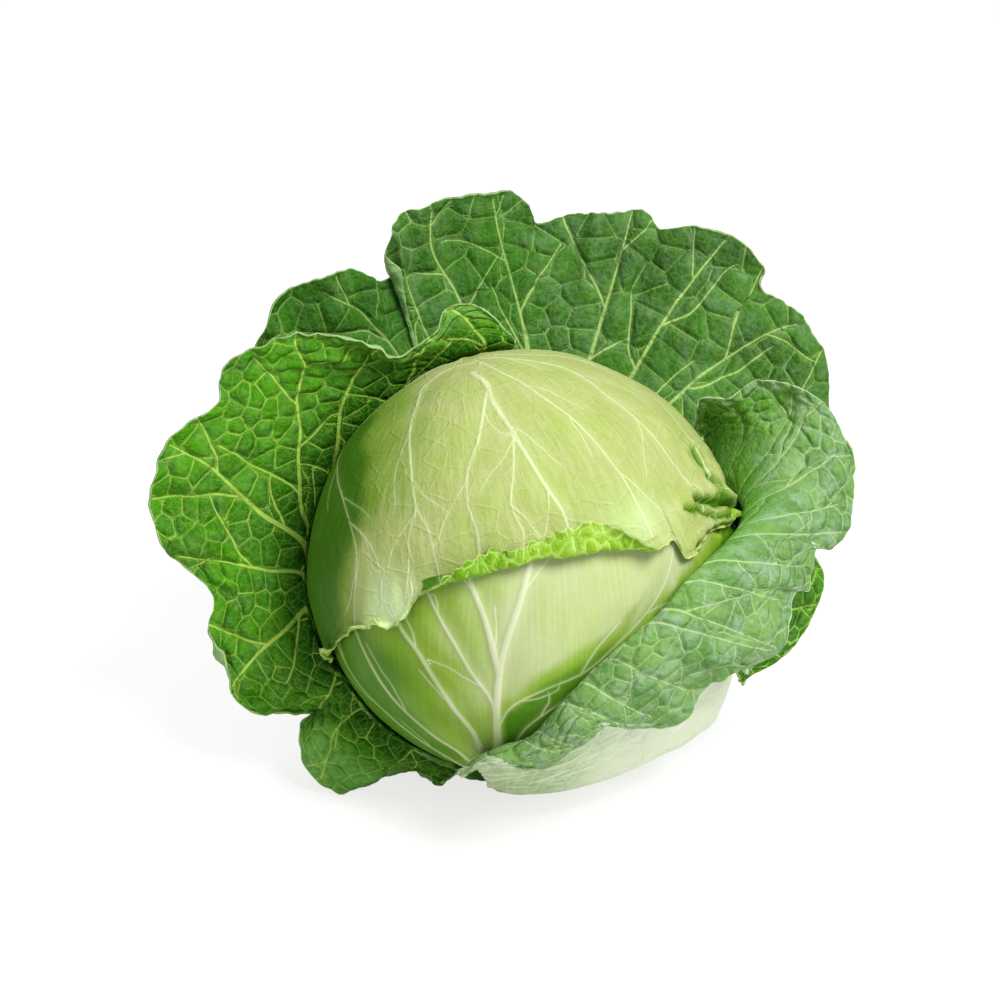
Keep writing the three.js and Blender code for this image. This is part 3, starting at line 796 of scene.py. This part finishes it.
# Painted highlight: a paler patch on the front right of the leaf.
tint -= np.exp(-(((lies - np.array((43, -60, 47))) / np.array((26, 16, 13))) ** 2).sum(1)) * 0.45
beside, above = PINCH[0] - lies[:, 0], up_in_view(lies) - PINCH[1]
beside += wobble(lies, 7, 45) * 0.8
at_pinch = np.stack([beside, above + wobble(lies, 6, 46) * 0.8, 60 * smooth(lies[:, 1], 10, 40)], -1)
# The pinch folds dent the leaf, and their creases are darkened with painted shade.
pinched, painted_crease_shade = np.zeros(len(lies)), np.zeros(len(lies))
for half, depth, stops in PINCH_FOLDS:
    line = rail([(a, b, 0) for a, b in stops])(np.linspace(0, 1, 30))
    gap = to_veins(at_pinch, np.tile((0.0, 0.0, 1.0), (len(lies), 1)), [(line, np.full(30, half))])[1]
    dent = np.exp(-((gap / (half * 1.2)) ** 2))
    pinched -= depth * dent - depth * 0.35 * np.exp(-(((gap - half * 3) / (half * 1.8)) ** 2))
    painted_crease_shade = np.maximum(painted_crease_shade, np.exp(-((gap / (half * 1.45)) ** 2)) * depth / 2.1)
tint = np.maximum(tint, np.where(painted_crease_shade > 0.08, painted_crease_shade, -1))
tint = np.where((v > FOLD_FROM) & (fold_at(u) > 0.3), 0.9 * smooth(leftward, -0.2, 0.3), tint)
tint = np.clip(tint, -1, 1)
clear_vein, _ = dress_leaf(
    top_leaf.data, lies, normals, unit(lies) * TOP_LEAF_RADIUS, top_veins, 11.0, 21, margin, tint)
rolled = v > FOLD_FROM
band_side, band_gap, band_half = to_cells(lies, np.full(len(lies), 99.0), 5.5, 22)
for name, band_values in (("net_side", band_side), ("net_gap", band_gap), ("net_half", band_half)):
    set_values(top_leaf.data, **{name: np.where(rolled, band_values, values_of(top_leaf.data, name))})
lift = smooth(clear_vein, 0, 10) * 0.45 - 0.3 + wobble(lies, 45, 41) * 0.55 + wobble(lies, 15, 42) * 0.16
near_edge = smooth(v, FOLD_FROM * 0.72, FOLD_FROM)
lift += near_edge * wobble(np.stack([u * 560, v * 40], -1), 11, 43) * 0.45
band = smooth(v, FOLD_FROM + 0.04, 1.0) * np.maximum(fold_at(u), curl_at(u))
lift += band * wobble(np.stack([u * 560, v * 60], -1), 12, 44) * 0.9
lift += pinched
set_places(top_leaf.data, lies + normals * lift[:, None])
outer = thicken(top_leaf, normals, 1.1, 0.8, margin)
raise_ribs(top_leaf, normals, outer, 0.6)
close_seams()
finish_leaf(top_leaf, leaf_finish(
    "light_top_leaf", {"Coat Weight": 0.04, "Coat Roughness": 0.34},
    Flesh=(0.28, 0.50, 0.012, 1), Deep_flesh=(0.17, 0.39, 0.007, 1), Vein=(0.52, 0.72, 0.16, 1),
    Under_flesh=(0.41, 0.455, 0.145, 1), Under_middle=(0.18, 0.315, 0.022, 1),
    Under_vein=(0.68, 0.74, 0.42, 1), Edge=(0.55, 0.70, 0.22, 1), Tint=(0.15, 0.39, 0.005, 1),
    Under_tint=(0.045, 0.16, 0.002, 1), Pale=(0.70, 0.92, 0.46, 1),
    Under_net=0.15, Roughness=0.44, Relief=1.6, Net_relief=0.5, Vein_softness=0.3, Under_streaks=0.16,
    Under_across=200.0, Under_along=12.0), "top_head_leaf")

# The right outer leaf: a thick blade that cups the lower right of the head with its pale ribbed back
# outwards. It folds over itself there, and towards its top it opens into a trumpet behind the head. Its
# inner face has a frosty grey-green bloom.
SIDE_LEAF_RADIUS = 92.0
REAR_LEAF_RADIUS = 95.6
ROOT_RADIUS = 18.4
LYING = 9 / 16  # the share of an outer leaf, from its root, that lies on the head
CURL_FROM, CURL_SPAN = 0.90, 0.10  # where along a leaf its rolled edge starts, and how far it runs


def fan_leaf(radius, root, throat, edge, rise=0.0, lift=(0.0, 0.0), sweep=1.0, snug=(0.0, -99.0)):
    """The middle of a leaf that lies on the head and then leaves it, by its shares across and along.

    The root gives the compass ways of its foot, the throat is the line where it leaves the head and the
    edge its outer edge. Snug says how much closer to the head it lies below a height.
    """
    throat_rail, edge_rail = rail(throat), rail(edge)
    low = -math.acos(ROOT_RADIUS / radius)

    def surface(u, v):
        leave, out = throat_rail(u), edge_rail(u)
        compass = np.radians(root[0] + (root[1] - root[0]) * u)
        turn = np.arctan2(leave[:, 1], leave[:, 0]) - compass
        swing = np.arctan2(np.sin(turn), np.cos(turn))
        high = np.arctan2(leave[:, 2], np.hypot(leave[:, 0], leave[:, 1]))

        def lie(share):
            way = compass + swing * share**sweep
            place = direction(np.degrees(way), np.degrees(low + (high - low) * share)) * radius
            closer = snug[0] * smooth(snug[1] - place[:, 2], 0, 15) * smooth(share, 0.3, 0.6)
            return place * (1 - closer / radius)[:, None]

        foot, close = lie(np.ones_like(u)), lie(np.full_like(u, 0.85))
        away = unit(foot)
        onward = unit(foot - lie(np.full_like(u, 0.97)))
        first = foot + (out - foot) * 0.3 + away * lift[0] + onward * rise
        second = foot + (out - foot) * 0.66 + away * lift[1] + onward * rise / 2
        stops = np.stack([close, foot, first, second, out, out])
        place = 1 + np.clip((v - LYING) / (1 - LYING), 0, 1) * 3
        i = np.minimum(place.astype(int), 3)
        t = (place - i)[:, None]
        rows = np.arange(len(u))
        before, a, b, after = (stops[i + k, rows] for k in (-1, 0, 1, 2))
        start, end = (b - before) / 2, (after - a) / 2
        flared = (2 * t**3 - 3 * t**2 + 1) * a + (t**3 - 2 * t**2 + t) * start
        flared += (3 * t**2 - 2 * t**3) * b + (t**3 - t**2) * end
        return np.where((v <= LYING)[:, None], lie(np.clip(v / LYING, 0, 1)), flared)

    return surface


def fan_veins(surface, ribs, seed, spacing, reach, angle, widest):
    """Ribs given by their shares across and along the leaf, and the side veins that leave them."""
    draw = random.Random(seed)
    last = 80  # the last row of the grid that the leaf's stretch is measured on
    shares = np.linspace(0, 1, last + 1)
    us, vs = np.meshgrid(shares, shares, indexing="ij")
    sheet = surface(us.ravel(), vs.ravel()).reshape(last + 1, last + 1, 3)
    wide = np.linalg.norm(np.gradient(sheet, 1 / last, axis=0), axis=-1)
    long = np.linalg.norm(np.gradient(sheet, 1 / last, axis=1), axis=-1)

    taken = Grown()
    parents, grown = [], []
    for width, stops in ribs:
        share = np.linspace(0, 1, 110)
        flat = rail([(a, b, 0) for a, b in stops])(share)[:, :2]
        line, widths = surface(flat[:, 0], flat[:, 1]), width * (1 - share) ** 1.15 + 0.16
        taken.add(line, len(parents))
        parents.append((flat, line, widths))
        grown.append((line, widths))
    owner = len(parents)
    for parent, (flat, line, widths) in enumerate(parents):
        gone, turn = draw.uniform(0.2, 0.8) * spacing, draw.choice((-1, 1))
        for i in range(1, len(flat) - 1):
            gone += float(np.linalg.norm(line[i] - line[i - 1]))
            u, v = flat[i]
            if v < LYING * 0.7 or v > 0.95 or gone < spacing * draw.uniform(0.7, 1.3):
                continue
            gone, turn, owner = 0.0, -turn, owner + 1
            k, m = min(int(u * last), last), min(int(v * last), last)
            along_u, along_v = (flat[i] - flat[i - 1]) * (wide[k, m], long[k, m])
            lean = math.atan2(along_u, along_v) + turn * math.radians(angle * draw.uniform(0.8, 1.2))
            stops = [line[i]]
            for step in range(int(reach * draw.uniform(0.6, 1.25) / VEIN_STEP)):
                k, m = min(int(u * last), last), min(int(v * last), last)
                u += math.sin(lean) * VEIN_STEP / max(wide[k, m], 20)
                v += math.cos(lean) * VEIN_STEP / max(long[k, m], 20)
                lean = lean * 0.98 + math.radians(draw.gauss(0, 4.5))
                if not (0.005 < u < 0.995 and 0.1 < v < 0.985):
                    break
                place = surface(np.array([u]), np.array([v]))[0]
                met = taken.meets(place, owner, parent, step < 4, 2.7)
                stops.append(place if met is None else met)
                if met is not None:
                    break
            if len(stops) > 3:
                width = min(widest, widths[i] * 0.7)
                taken.add(np.array(stops), owner)
                grown.append((np.array(stops), np.linspace(width, width * 0.35, len(stops))))
    return grown


def loose_leaf(name, surface, columns, rows, veins, seed, cell, waves, puff, rib, tint_of, curls=(),
               throat=0.0, wrinkles=(0.6, 25.0, 0.35), calm=0.0):
    """An outer leaf with its ruffled edge, the blade puffed up between its veins, and raised ribs.

    Waves are the height and width of the large and of the small ruffles, and the height of the pleats.
    Wrinkles are the stretch across and along and the height of the wrinkles on the lying part, throat
    takes the net away there at the right, and calm is the share at the left with weaker waves.
    """
    piece, u, v = grid_of(name, columns, rows)
    v = np.where(v < 0.34, v / 0.34 * LYING * 0.93, LYING * 0.93 + (v - 0.34) / 0.66 * (1 - LYING * 0.93))
    edge_line = surface(np.linspace(0, 1, 400), np.ones(400))
    width = np.linalg.norm(np.diff(edge_line, axis=0), axis=1).sum()
    across = np.stack([u * width, np.zeros_like(u)], -1)
    border = 1 - v
    ragged = 0.55 + 0.3 * wobble(across, 14, seed + 1) + 0.25 * wobble(across, 5, seed + 2)
    v = v - np.clip(smooth(v, 0.7, 1) * ragged, 0, 1.2) * 0.012
    foot = surface(u, np.full_like(u, LYING))
    out = surface(u, np.ones_like(u))
    start = np.full_like(u, CURL_FROM)

    def curled(u, v):
        """The leaf with parts of its edge rolled over its inner face, near the given places."""
        flat, tip = surface(u, v), surface(u, np.ones_like(u))
        rolling = np.zeros_like(u)
        for spot, size, amount in curls:
            far = np.linalg.norm(tip - np.array(spot, float), axis=1)
            rolling = np.maximum(rolling, amount * np.exp(-((far / size) ** 2)))
        begin = surface(u, start)
        onward = unit(begin - surface(u, start - 0.02))
        inward = -normals_of(surface, u, start)
        length = np.linalg.norm(tip - begin, axis=1) * np.clip((v - CURL_FROM) / CURL_SPAN, 0, 1)
        radius = 2.4 / np.maximum(rolling, 0.02)
        turn = np.minimum(length / radius, 4.0)
        bent = begin + onward * (radius * np.sin(turn))[:, None]
        bent += inward * (radius * (1 - np.cos(turn)))[:, None]
        share = (smooth(rolling, 0.05, 0.4) * (v > CURL_FROM))[:, None]
        return flat * (1 - share) + bent * share

    lies = curled(u, v) if curls else surface(u, v)
    normals = normals_of(curled if curls else surface, u, v)
    margin = border / (1 - LYING) * np.linalg.norm(out - foot, axis=1) * 1.15
    margin = np.minimum(margin, np.minimum(u, 1 - u) * width * v + 99 * (v < LYING * 0.9))
    shown = surface(u, v)
    cells_at = np.concatenate([shown, (v * 90)[:, None]], 1)
    clear_vein, net_gap = dress_leaf(
        piece.data, cells_at, normals, shown, veins, cell, seed, margin, np.clip(tint_of(u, v), -1, 1))
    bare = throat * smooth(u, 0.45, 0.6) * (1 - smooth(v, 0.66, 0.8))
    net_gap = net_gap + bare * 9
    set_values(piece.data, net_gap=net_gap)
    free = smooth(v, LYING * 0.98, 1.0)
    lying = smooth(v, 0.1, 0.3) * (1 - smooth(v, LYING * 0.95, LYING * 1.1))
    flat = np.stack([u * width, v * 150], -1)
    large, large_size, small, small_size, pleats = waves
    ruffles = large * wobble(flat, large_size, seed + 3) + small * wobble(flat, small_size, seed + 4)
    lift = free**1.3 * ruffles
    lift += free**1.1 * pleats * wobble(np.stack([u * width, v * 30], -1), 24, seed + 8)
    lift += free**0.7 * 0.45 * wobble(flat, 6.5, seed + 5)
    streaks = np.stack([u * width * wrinkles[0], v * wrinkles[1]], -1)
    lift += lying * wrinkles[2] * (wobble(streaks, 9, seed + 6) + 0.7 * wobble(streaks, 3.6, seed + 7))
    between = np.minimum(clear_vein, net_gap + 0.4)
    swell = smooth(between, 0, 4.2) * puff + smooth(clear_vein, 0, 7) * puff * 0.9
    lift -= (swell - puff * 0.6) * smooth(v, LYING * 0.9, LYING * 1.1) * (1 - bare)
    lift *= 0.35 + 0.65 * smooth(u, calm - 0.04, calm + 0.01)
    set_places(piece.data, lies + normals * lift[:, None])
    outer = thicken(piece, normals, 1.1, 0.7, margin)
    raise_ribs(piece, normals, outer, rib)
    return piece


right_fold = fan_leaf(
    SIDE_LEAF_RADIUS, (252, 390),
    throat=[
        (-22, -73, -52), (-10, -81, -42), (2, -85, -36), (13, -89, -20), (23, -89, -7), (36, -84, 7),
        (50, -76, 16), (63, -63, 24), (76, -43, 28), (86, -18, 28), (88, 4, 26), (84, 26, 24),
        (77, 40, 20), (70, 50, 14),
    ],
    edge=[
        (-26, -80, -50), (-15, -87, -40), (-3, -88, -42), (13, -89, -39), (30, -91, -22),
        (44, -82, -32), (56, -75, -34), (70, -68, -20), (84, -66, -12), (91, -60, -17), (104, -50, -4),
        (107, -40, 7), (114, -34, 6), (116, -26, 21), (124, -18, 17), (130, -8, 25), (134, 2, 37),
        (131, 12, 52), (120, 22, 65), (108, 30, 69), (96, 35, 68), (84, 38, 60), (73, 44, 56),
        (70, 52, 40),
    ],
    rise=4, lift=(6, 6), snug=(4.0, 8.0))
LOW_BULGE = unit(np.array((0.80, -0.25, -0.55)))  # where the folded leaf stands off the head


def right_surface(u, v):
    places = right_fold(u, v)
    far = np.degrees(np.arccos(np.clip(unit(places) @ LOW_BULGE, -1, 1)))
    return places + unit(places) * (9.5 * np.exp(-((far / 15) ** 2)) * (v < LYING * 1.1))[:, None]


def right_tint(u, v):
    """Green in the throat, and whiter where the folded leaf stands off the head."""
    green = (1 - smooth(v, 0.57, 0.74)) * (0.25 + 0.75 * smooth(u, 0.5, 0.68))
    green = np.maximum(green, 0.75 * smooth(u, 0.80, 0.88) * (1 - smooth(v, 0.9, 1.0)))
    white = 0.85 * smooth(u, 0.18, 0.42) * (1 - 0.75 * smooth(u, 0.70, 0.82))
    return np.where(v < 0.5, -white, green)


draw = random.Random(71)
right_ribs = []
for k in range(17):
    share = 0.04 + 0.0565 * k + draw.uniform(-0.014, 0.014)
    drift = 0.03 + draw.uniform(-0.02, 0.02)
    sweep = [(share * (0.35 + 0.65 * along), along * LYING) for along in (0.0, 0.35, 0.7, 1.0)]
    stops = sweep + [(share + drift * 0.4, 0.72), (share + drift, draw.uniform(0.88, 0.97))]
    right_ribs.append((draw.uniform(0.3, 0.65), [(min(a, 0.985), b) for a, b in stops]))
right_veins = fan_veins(
    right_surface, right_ribs, seed=15, spacing=22.0, reach=24.0, angle=44.0, widest=0.2)
right_leaf = loose_leaf(
    "right_leaf", right_surface, 320, 140, right_veins, seed=300, cell=8.5,
    waves=(1.8, 28.0, 0.5, 15.0, 1.0), puff=0.38, rib=0.15, tint_of=right_tint, throat=1.0,
    wrinkles=(0.14, 90.0, 0.9), curls=(((-17, -87, -41), 9.0, 0.8), ((-2, -88, -42), 6.0, 0.5)))
finish_leaf(right_leaf, leaf_finish(
    "frosted_leaf",
    Flesh=(0.19, 0.375, 0.09, 1), Deep_flesh=(0.105, 0.26, 0.055, 1), Vein=(0.42, 0.58, 0.25, 1),
    Under_flesh=(0.52, 0.68, 0.33, 1), Under_vein=(0.86, 0.92, 0.74, 1), Edge=(0.66, 0.80, 0.46, 1),
    Tint=(0.085, 0.31, 0.003, 1), Under_tint=(0.54, 0.70, 0.34, 1), Pale=(0.84, 0.92, 0.68, 1),
    Net=0.75, Fine_net=0.25, Halo=0.10, Bloom=0.45, Under_net=0.15, Roughness=0.5, Net_half_width=0.1,
    Streaks=0.42, Under_streaks=0.7, Under_across=8.0, Under_along=150.0, Under_veins=0.3,
    Vein_softness=0.22, Relief=1.25), "right_outer_leaf")

# The left outer leaf: stands out to the left of the head like an open bowl, with its inner face to the
# front. A lobe of it droops to the surface, and its upper end stands up behind the head as a flap.
left_surface = fan_leaf(
    SIDE_LEAF_RADIUS, (112, 238),
    throat=[
        (-4, 51, 76), (-22, 47, 75), (-43, 52, 61), (-60, 46, 48), (-72, 38, 34), (-86, 20, 8),
        (-88, 2, -20), (-78, -14, -46), (-56, -26, -70), (-28, -26, -85),
    ],
    edge=[
        (-7, 52, 81), (-12, 52, 89), (-23, 52, 95), (-33, 50, 93), (-37, 46, 85), (-43, 40, 82),
        (-54, 36, 76), (-64, 34, 82), (-81, 34, 86), (-107, 32, 84), (-122, 27, 76), (-125, 23, 63),
        (-134, 17, 58), (-145, 12, 50), (-152, 7, 30), (-148, 1, 9), (-137, 0, -2), (-128, -1, -14),
        (-131, -9, -29), (-125, -14, -45), (-112, -17, -59), (-98, -12, -60), (-86, -4, -64),
        (-93, -14, -71), (-91, -18, -82), (-80, -20, -93.5), (-70, -18, -93.5), (-65, -10, -90),
        (-55, -8, -87), (-44, -14, -86), (-33, -23, -86),
    ],
    lift=(2, 2), sweep=1.6, snug=(4.0, -34.0))
left_ribs = [
    (1.2, [(0.06, 0.0), (0.05, 0.5), (0.06, 0.8), (0.07, 0.95)]),
    (1.6, [(0.18, 0.0), (0.22, 0.5), (0.17, 0.65), (0.13, 0.82), (0.11, 0.93)]),
    (1.5, [(0.36, 0.0), (0.41, 0.5), (0.34, 0.60), (0.24, 0.72), (0.19, 0.85), (0.17, 0.95)]),
    (1.6, [(0.46, 0.0), (0.50, 0.5), (0.46, 0.60), (0.41, 0.64), (0.34, 0.72), (0.27, 0.84), (0.25, 0.95)]),
    (2.6, [(0.52, 0.0), (0.52, 0.4), (0.51, 0.56), (0.48, 0.66), (0.45, 0.75), (0.42, 0.86), (0.41, 0.97)]),
    (1.5, [(0.57, 0.0), (0.56, 0.5), (0.555, 0.6), (0.545, 0.72), (0.53, 0.85), (0.52, 0.96)]),
    (2.2, [(0.62, 0.0), (0.60, 0.5), (0.63, 0.65), (0.64, 0.73), (0.65, 0.81), (0.66, 0.9), (0.665, 0.97)]),
    (0.8, [(0.70, 0.0), (0.70, 0.45), (0.74, 0.63), (0.76, 0.82), (0.76, 0.94)]),
    (0.55, [(0.80, 0.0), (0.80, 0.5), (0.81, 0.75), (0.83, 0.83), (0.85, 0.95)]),
    (0.6, [(0.91, 0.0), (0.91, 0.5), (0.92, 0.75), (0.925, 0.93)]),
]


def left_tint(u, v):
    """Deeper green and painted shade by the head, painted light on the low lobe, frosty flap behind the
    head.
    """
    # Deeper green near the head: partly the leaf's own colour, partly painted shade in the bowl.
    dark = 1 - smooth(v, 0.60, 0.78)
    frost = 0.45 * (1 - smooth(u, 0.12, 0.19)) * smooth(v, 0.72, 0.9)
    # Painted light: the low lobe faces down into shade and is turned pale.
    lobe = 0.5 * smooth(u, 0.76, 0.82) * (1 - smooth(u, 0.92, 0.97)) * smooth(v, 0.70, 0.82)
    return dark - np.maximum(frost, lobe)


left_veins = fan_veins(
    left_surface, left_ribs, seed=21, spacing=19.0, reach=44.0, angle=44.0, widest=0.42)
left_leaf = loose_leaf(
    "left_leaf", left_surface, 350, 135, left_veins, seed=400, cell=9.5,
    waves=(2.8, 32.0, 1.0, 13.0, 1.5), puff=0.75, rib=0.5, tint_of=left_tint, calm=0.17,
    curls=(((-90, -8, -62), 13.0, 1.0), ((-50, -10, -87), 15.0, 0.9), ((-129, -11, -36), 13.0, 0.8)))
finish_leaf(left_leaf, leaf_finish(
    "green_leaf_left", {"Specular IOR Level": 0.12},
    Flesh=(0.062, 0.29, 0.005, 1), Deep_flesh=(0.028, 0.18, 0.003, 1), Vein=(0.44, 0.68, 0.10, 1),
    Under_flesh=(0.30, 0.48, 0.20, 1), Under_vein=(0.34, 0.54, 0.20, 1), Edge=(0.50, 0.70, 0.28, 1),
    Tint=(0.008, 0.085, 0.0005, 1), Under_tint=(0.05, 0.17, 0.01, 1), Pale=(0.24, 0.56, 0.13, 1),
    Net=0.64, Fine_net=0.3, Halo=0.12, Bloom=0.06, Under_net=0.4, Roughness=0.45, Net_half_width=0.12,
    Under_veins=0.7, Streaks=0.12, Relief=1.25), "left_outer_leaf")

# The back outer leaf: the largest, a dark bluish green fan that stands up behind the head. Its veins
# spread like rays from behind the head, and a notch cuts into its edge at the left.
back_surface = fan_leaf(
    REAR_LEAF_RADIUS, (40, 150),
    throat=[
        (84, 42, -16), (76, 52, 4), (56, 74, 18), (28, 88, 26), (0, 92, 28), (-30, 86, 22),
        (-58, 70, 10), (-76, 54, -4), (-84, 42, -20),
    ],
    edge=[
        (90, 48, -14), (108, 62, 0), (124, 74, 18), (131, 80, 38), (128, 85, 59), (117, 91, 76),
        (101, 96, 85), (103, 99, 92), (94, 102, 103), (75, 108, 109), (58, 116, 105), (53, 117, 112),
        (38, 120, 111), (20, 122, 109), (5, 123, 105), (3, 121, 114), (-5, 119, 120), (-20, 117, 121),
        (-44, 108, 118), (-57, 103, 112), (-57, 99, 99), (-52, 99, 92), (-60, 97, 88), (-73, 90, 96),
        (-94, 85, 91), (-106, 80, 83), (-113, 74, 67), (-114, 70, 44), (-106, 62, 18), (-90, 50, -12),
    ],
    lift=(3, 4))
back_ribs = [
    (1.3, [(0.08, 0.0), (0.06, 0.6), (0.05, 0.8), (0.05, 0.94)]),
    (1.5, [(0.18, 0.0), (0.14, 0.6), (0.11, 0.8), (0.09, 0.94)]),
    (1.9, [(0.26, 0.0), (0.21, 0.6), (0.165, 0.8), (0.14, 0.95)]),
    (2.2, [(0.32, 0.0), (0.285, 0.6), (0.25, 0.82), (0.22, 0.96)]),
    (2.6, [(0.38, 0.0), (0.35, 0.6), (0.335, 0.82), (0.32, 0.97)]),
    (3, [(0.44, 0.0), (0.415, 0.6), (0.41, 0.83), (0.41, 0.98)]),
    (2.6, [(0.51, 0.0), (0.50, 0.6), (0.505, 0.72), (0.53, 0.83), (0.54, 0.9), (0.545, 0.97)]),
    (2.4, [(0.58, 0.0), (0.57, 0.6), (0.585, 0.79), (0.605, 0.9), (0.60, 0.97)]),
    (1.4, [(0.62, 0.0), (0.62, 0.6), (0.635, 0.8), (0.64, 0.9)]),
    (2.2, [(0.68, 0.0), (0.68, 0.6), (0.70, 0.8), (0.755, 0.95)]),
    (1.8, [(0.75, 0.0), (0.77, 0.6), (0.82, 0.8), (0.86, 0.94)]),
    (1.4, [(0.86, 0.0), (0.89, 0.6), (0.93, 0.8), (0.95, 0.93)]),
]


def back_tint(u, v):
    """Greener near the head, towards the left end and along the fold below the notch."""
    sides = smooth(u, 0.55, 0.8) * 0.8 + 0.4 * (1 - smooth(v, 0.62, 0.8))
    return (sides + 0.8 * np.exp(-(((u - 0.545) / 0.04) ** 2) - ((v - 0.84) / 0.14) ** 2)).clip(0, 1)


slim_ribs = [(0.8 * width, stops) for width, stops in back_ribs]
back_veins = fan_veins(back_surface, slim_ribs, seed=33, spacing=24.0, reach=48.0, angle=38.0, widest=0.36)
back_leaf = loose_leaf(
    "back_leaf", back_surface, 350, 135, back_veins, seed=500, cell=12.5,
    waves=(3.0, 38.0, 0.7, 15.0, 2.4), puff=0.4, rib=0.5, tint_of=back_tint)
finish_leaf(back_leaf, leaf_finish(
    "dark_leaf_back", {"Specular IOR Level": 0.16},
    Flesh=(0.054, 0.198, 0.019, 1), Deep_flesh=(0.025, 0.12, 0.011, 1), Vein=(0.42, 0.62, 0.18, 1),
    Under_flesh=(0.20, 0.40, 0.13, 1), Under_vein=(0.48, 0.64, 0.32, 1), Edge=(0.46, 0.66, 0.26, 1),
    Tint=(0.026, 0.155, 0.003, 1), Under_tint=(0.26, 0.44, 0.16, 1),
    Net=0.55, Fine_net=0.2, Halo=0.10, Bloom=0.14, Under_net=0.4, Roughness=0.45,
    Net_half_width=0.1), "back_outer_leaf")

# The low outer leaf: grows lowest on the stump, and shows its dark green edge under the right leaf.
low_surface = fan_leaf(
    REAR_LEAF_RADIUS - 2.0, (-4, 34),
    throat=[
        (87, -13, -40), (90, -4, -33), (92, 8, -26), (91, 20, -20), (86, 30, -20),
    ],
    edge=[
        (89, -13, -48), (94, -7, -46), (104, -1, -44), (115, 7, -35), (123, 14, -22), (125, 18, -14),
        (121, 22, -6), (112, 28, -2), (99, 33, -6),
    ],
    lift=(1, 1))
low_ribs = [
    (1.6, [(0.26, 0.0), (0.26, 0.6), (0.24, 0.94)]),
    (2.4, [(0.50, 0.0), (0.50, 0.6), (0.52, 0.96)]),
    (1.6, [(0.74, 0.0), (0.74, 0.6), (0.77, 0.94)]),
]
low_veins = fan_veins(low_surface, low_ribs, seed=44, spacing=15.0, reach=26.0, angle=44.0, widest=0.4)
low_leaf = loose_leaf(
    "low_leaf", low_surface, 110, 80, low_veins, seed=600, cell=8.0,
    waves=(1.0, 22.0, 0.6, 11.0, 0.3), puff=0.5, rib=0.5, tint_of=lambda u, v: 1 - smooth(v, 0.56, 0.8))
finish_leaf(low_leaf, leaf_finish(
    "green_leaf_low",
    Flesh=(0.05, 0.22, 0.008, 1), Deep_flesh=(0.025, 0.14, 0.005, 1), Vein=(0.36, 0.60, 0.10, 1),
    Under_flesh=(0.14, 0.32, 0.04, 1), Under_vein=(0.44, 0.62, 0.22, 1), Edge=(0.45, 0.65, 0.24, 1),
    Tint=(0.03, 0.15, 0.003, 1), Under_tint=(0.14, 0.30, 0.04, 1),
    Net=0.8, Fine_net=0.25, Halo=0.12, Bloom=0.05, Under_net=0.5,
    Roughness=0.5), "low_outer_leaf")

# The studio: a wide white floor, soft light from all round, a large soft lamp high on the right and a
# weaker one above. To the camera the floor glows a little, so that it looks as white as in the photo.
from mathutils import Vector

bpy.ops.object.select_all(action="DESELECT")
bpy.ops.mesh.primitive_plane_add(size=8, location=(0, 0, 0))
floor = bpy.context.object
floor.name = "studio_floor"
floor_finish, tree, shader = new_material("studio_white", Roughness=0.9)
shader.inputs["Specular IOR Level"].default_value = 0.0
seen = add(tree, "ShaderNodeLightPath").outputs["Is Camera Ray"]
white = blend_colour(tree, seen, (0.85, 0.85, 0.85, 1), (0.42, 0.42, 0.47, 1))
tree.links.new(white, shader.inputs["Base Color"])
shader.inputs["Emission Color"].default_value = (1, 1, 0.965, 1)
tree.links.new(maths(tree, "MULTIPLY", seen, 0.75), shader.inputs["Emission Strength"])
floor.data.materials.append(floor_finish)

world = bpy.data.worlds.new("studio_air")
world.use_nodes = True
world.node_tree.nodes["Background"].inputs["Color"].default_value = (1.0, 1.0, 1.0, 1)
seen = add(world.node_tree, "ShaderNodeLightPath").outputs["Is Camera Ray"]
sky = maths(world.node_tree, "MULTIPLY_ADD", seen, 0.65, 0.34)
world.node_tree.links.new(sky, world.node_tree.nodes["Background"].inputs["Strength"])
bpy.context.scene.world = world


def soft_lamp(name, place, aim, size, watts):
    data = bpy.data.lights.new(name, "AREA")
    data.shape, data.size, data.energy = "DISK", size, watts
    lamp = bpy.data.objects.new(name, data)
    bpy.context.scene.collection.objects.link(lamp)
    lamp.location = place
    way = Vector(aim) - Vector(place)
    lamp.rotation_euler = way.to_track_quat("-Z", "Y").to_euler()


soft_lamp("key_lamp", (0.60, -0.70, 1.25), (0, 0, 0.1), 0.75, 20.5)
soft_lamp("top_lamp", (-0.25, 0.35, 1.45), (0, 0, 0.1), 0.6, 5.0)

bpy.context.scene.view_settings.view_transform = "Standard"
lens = bpy.data.cameras.new("camera")
lens.lens, lens.sensor_width = 120.0, 36.0
lens.clip_start, lens.clip_end = 0.05, 20.0
camera = bpy.data.objects.new("camera", lens)
bpy.context.scene.collection.objects.link(camera)
camera.location = (-0.0102, -1.2237, 0.6968)
camera.rotation_euler = (math.radians(65), 0, 0)
bpy.context.scene.camera = camera
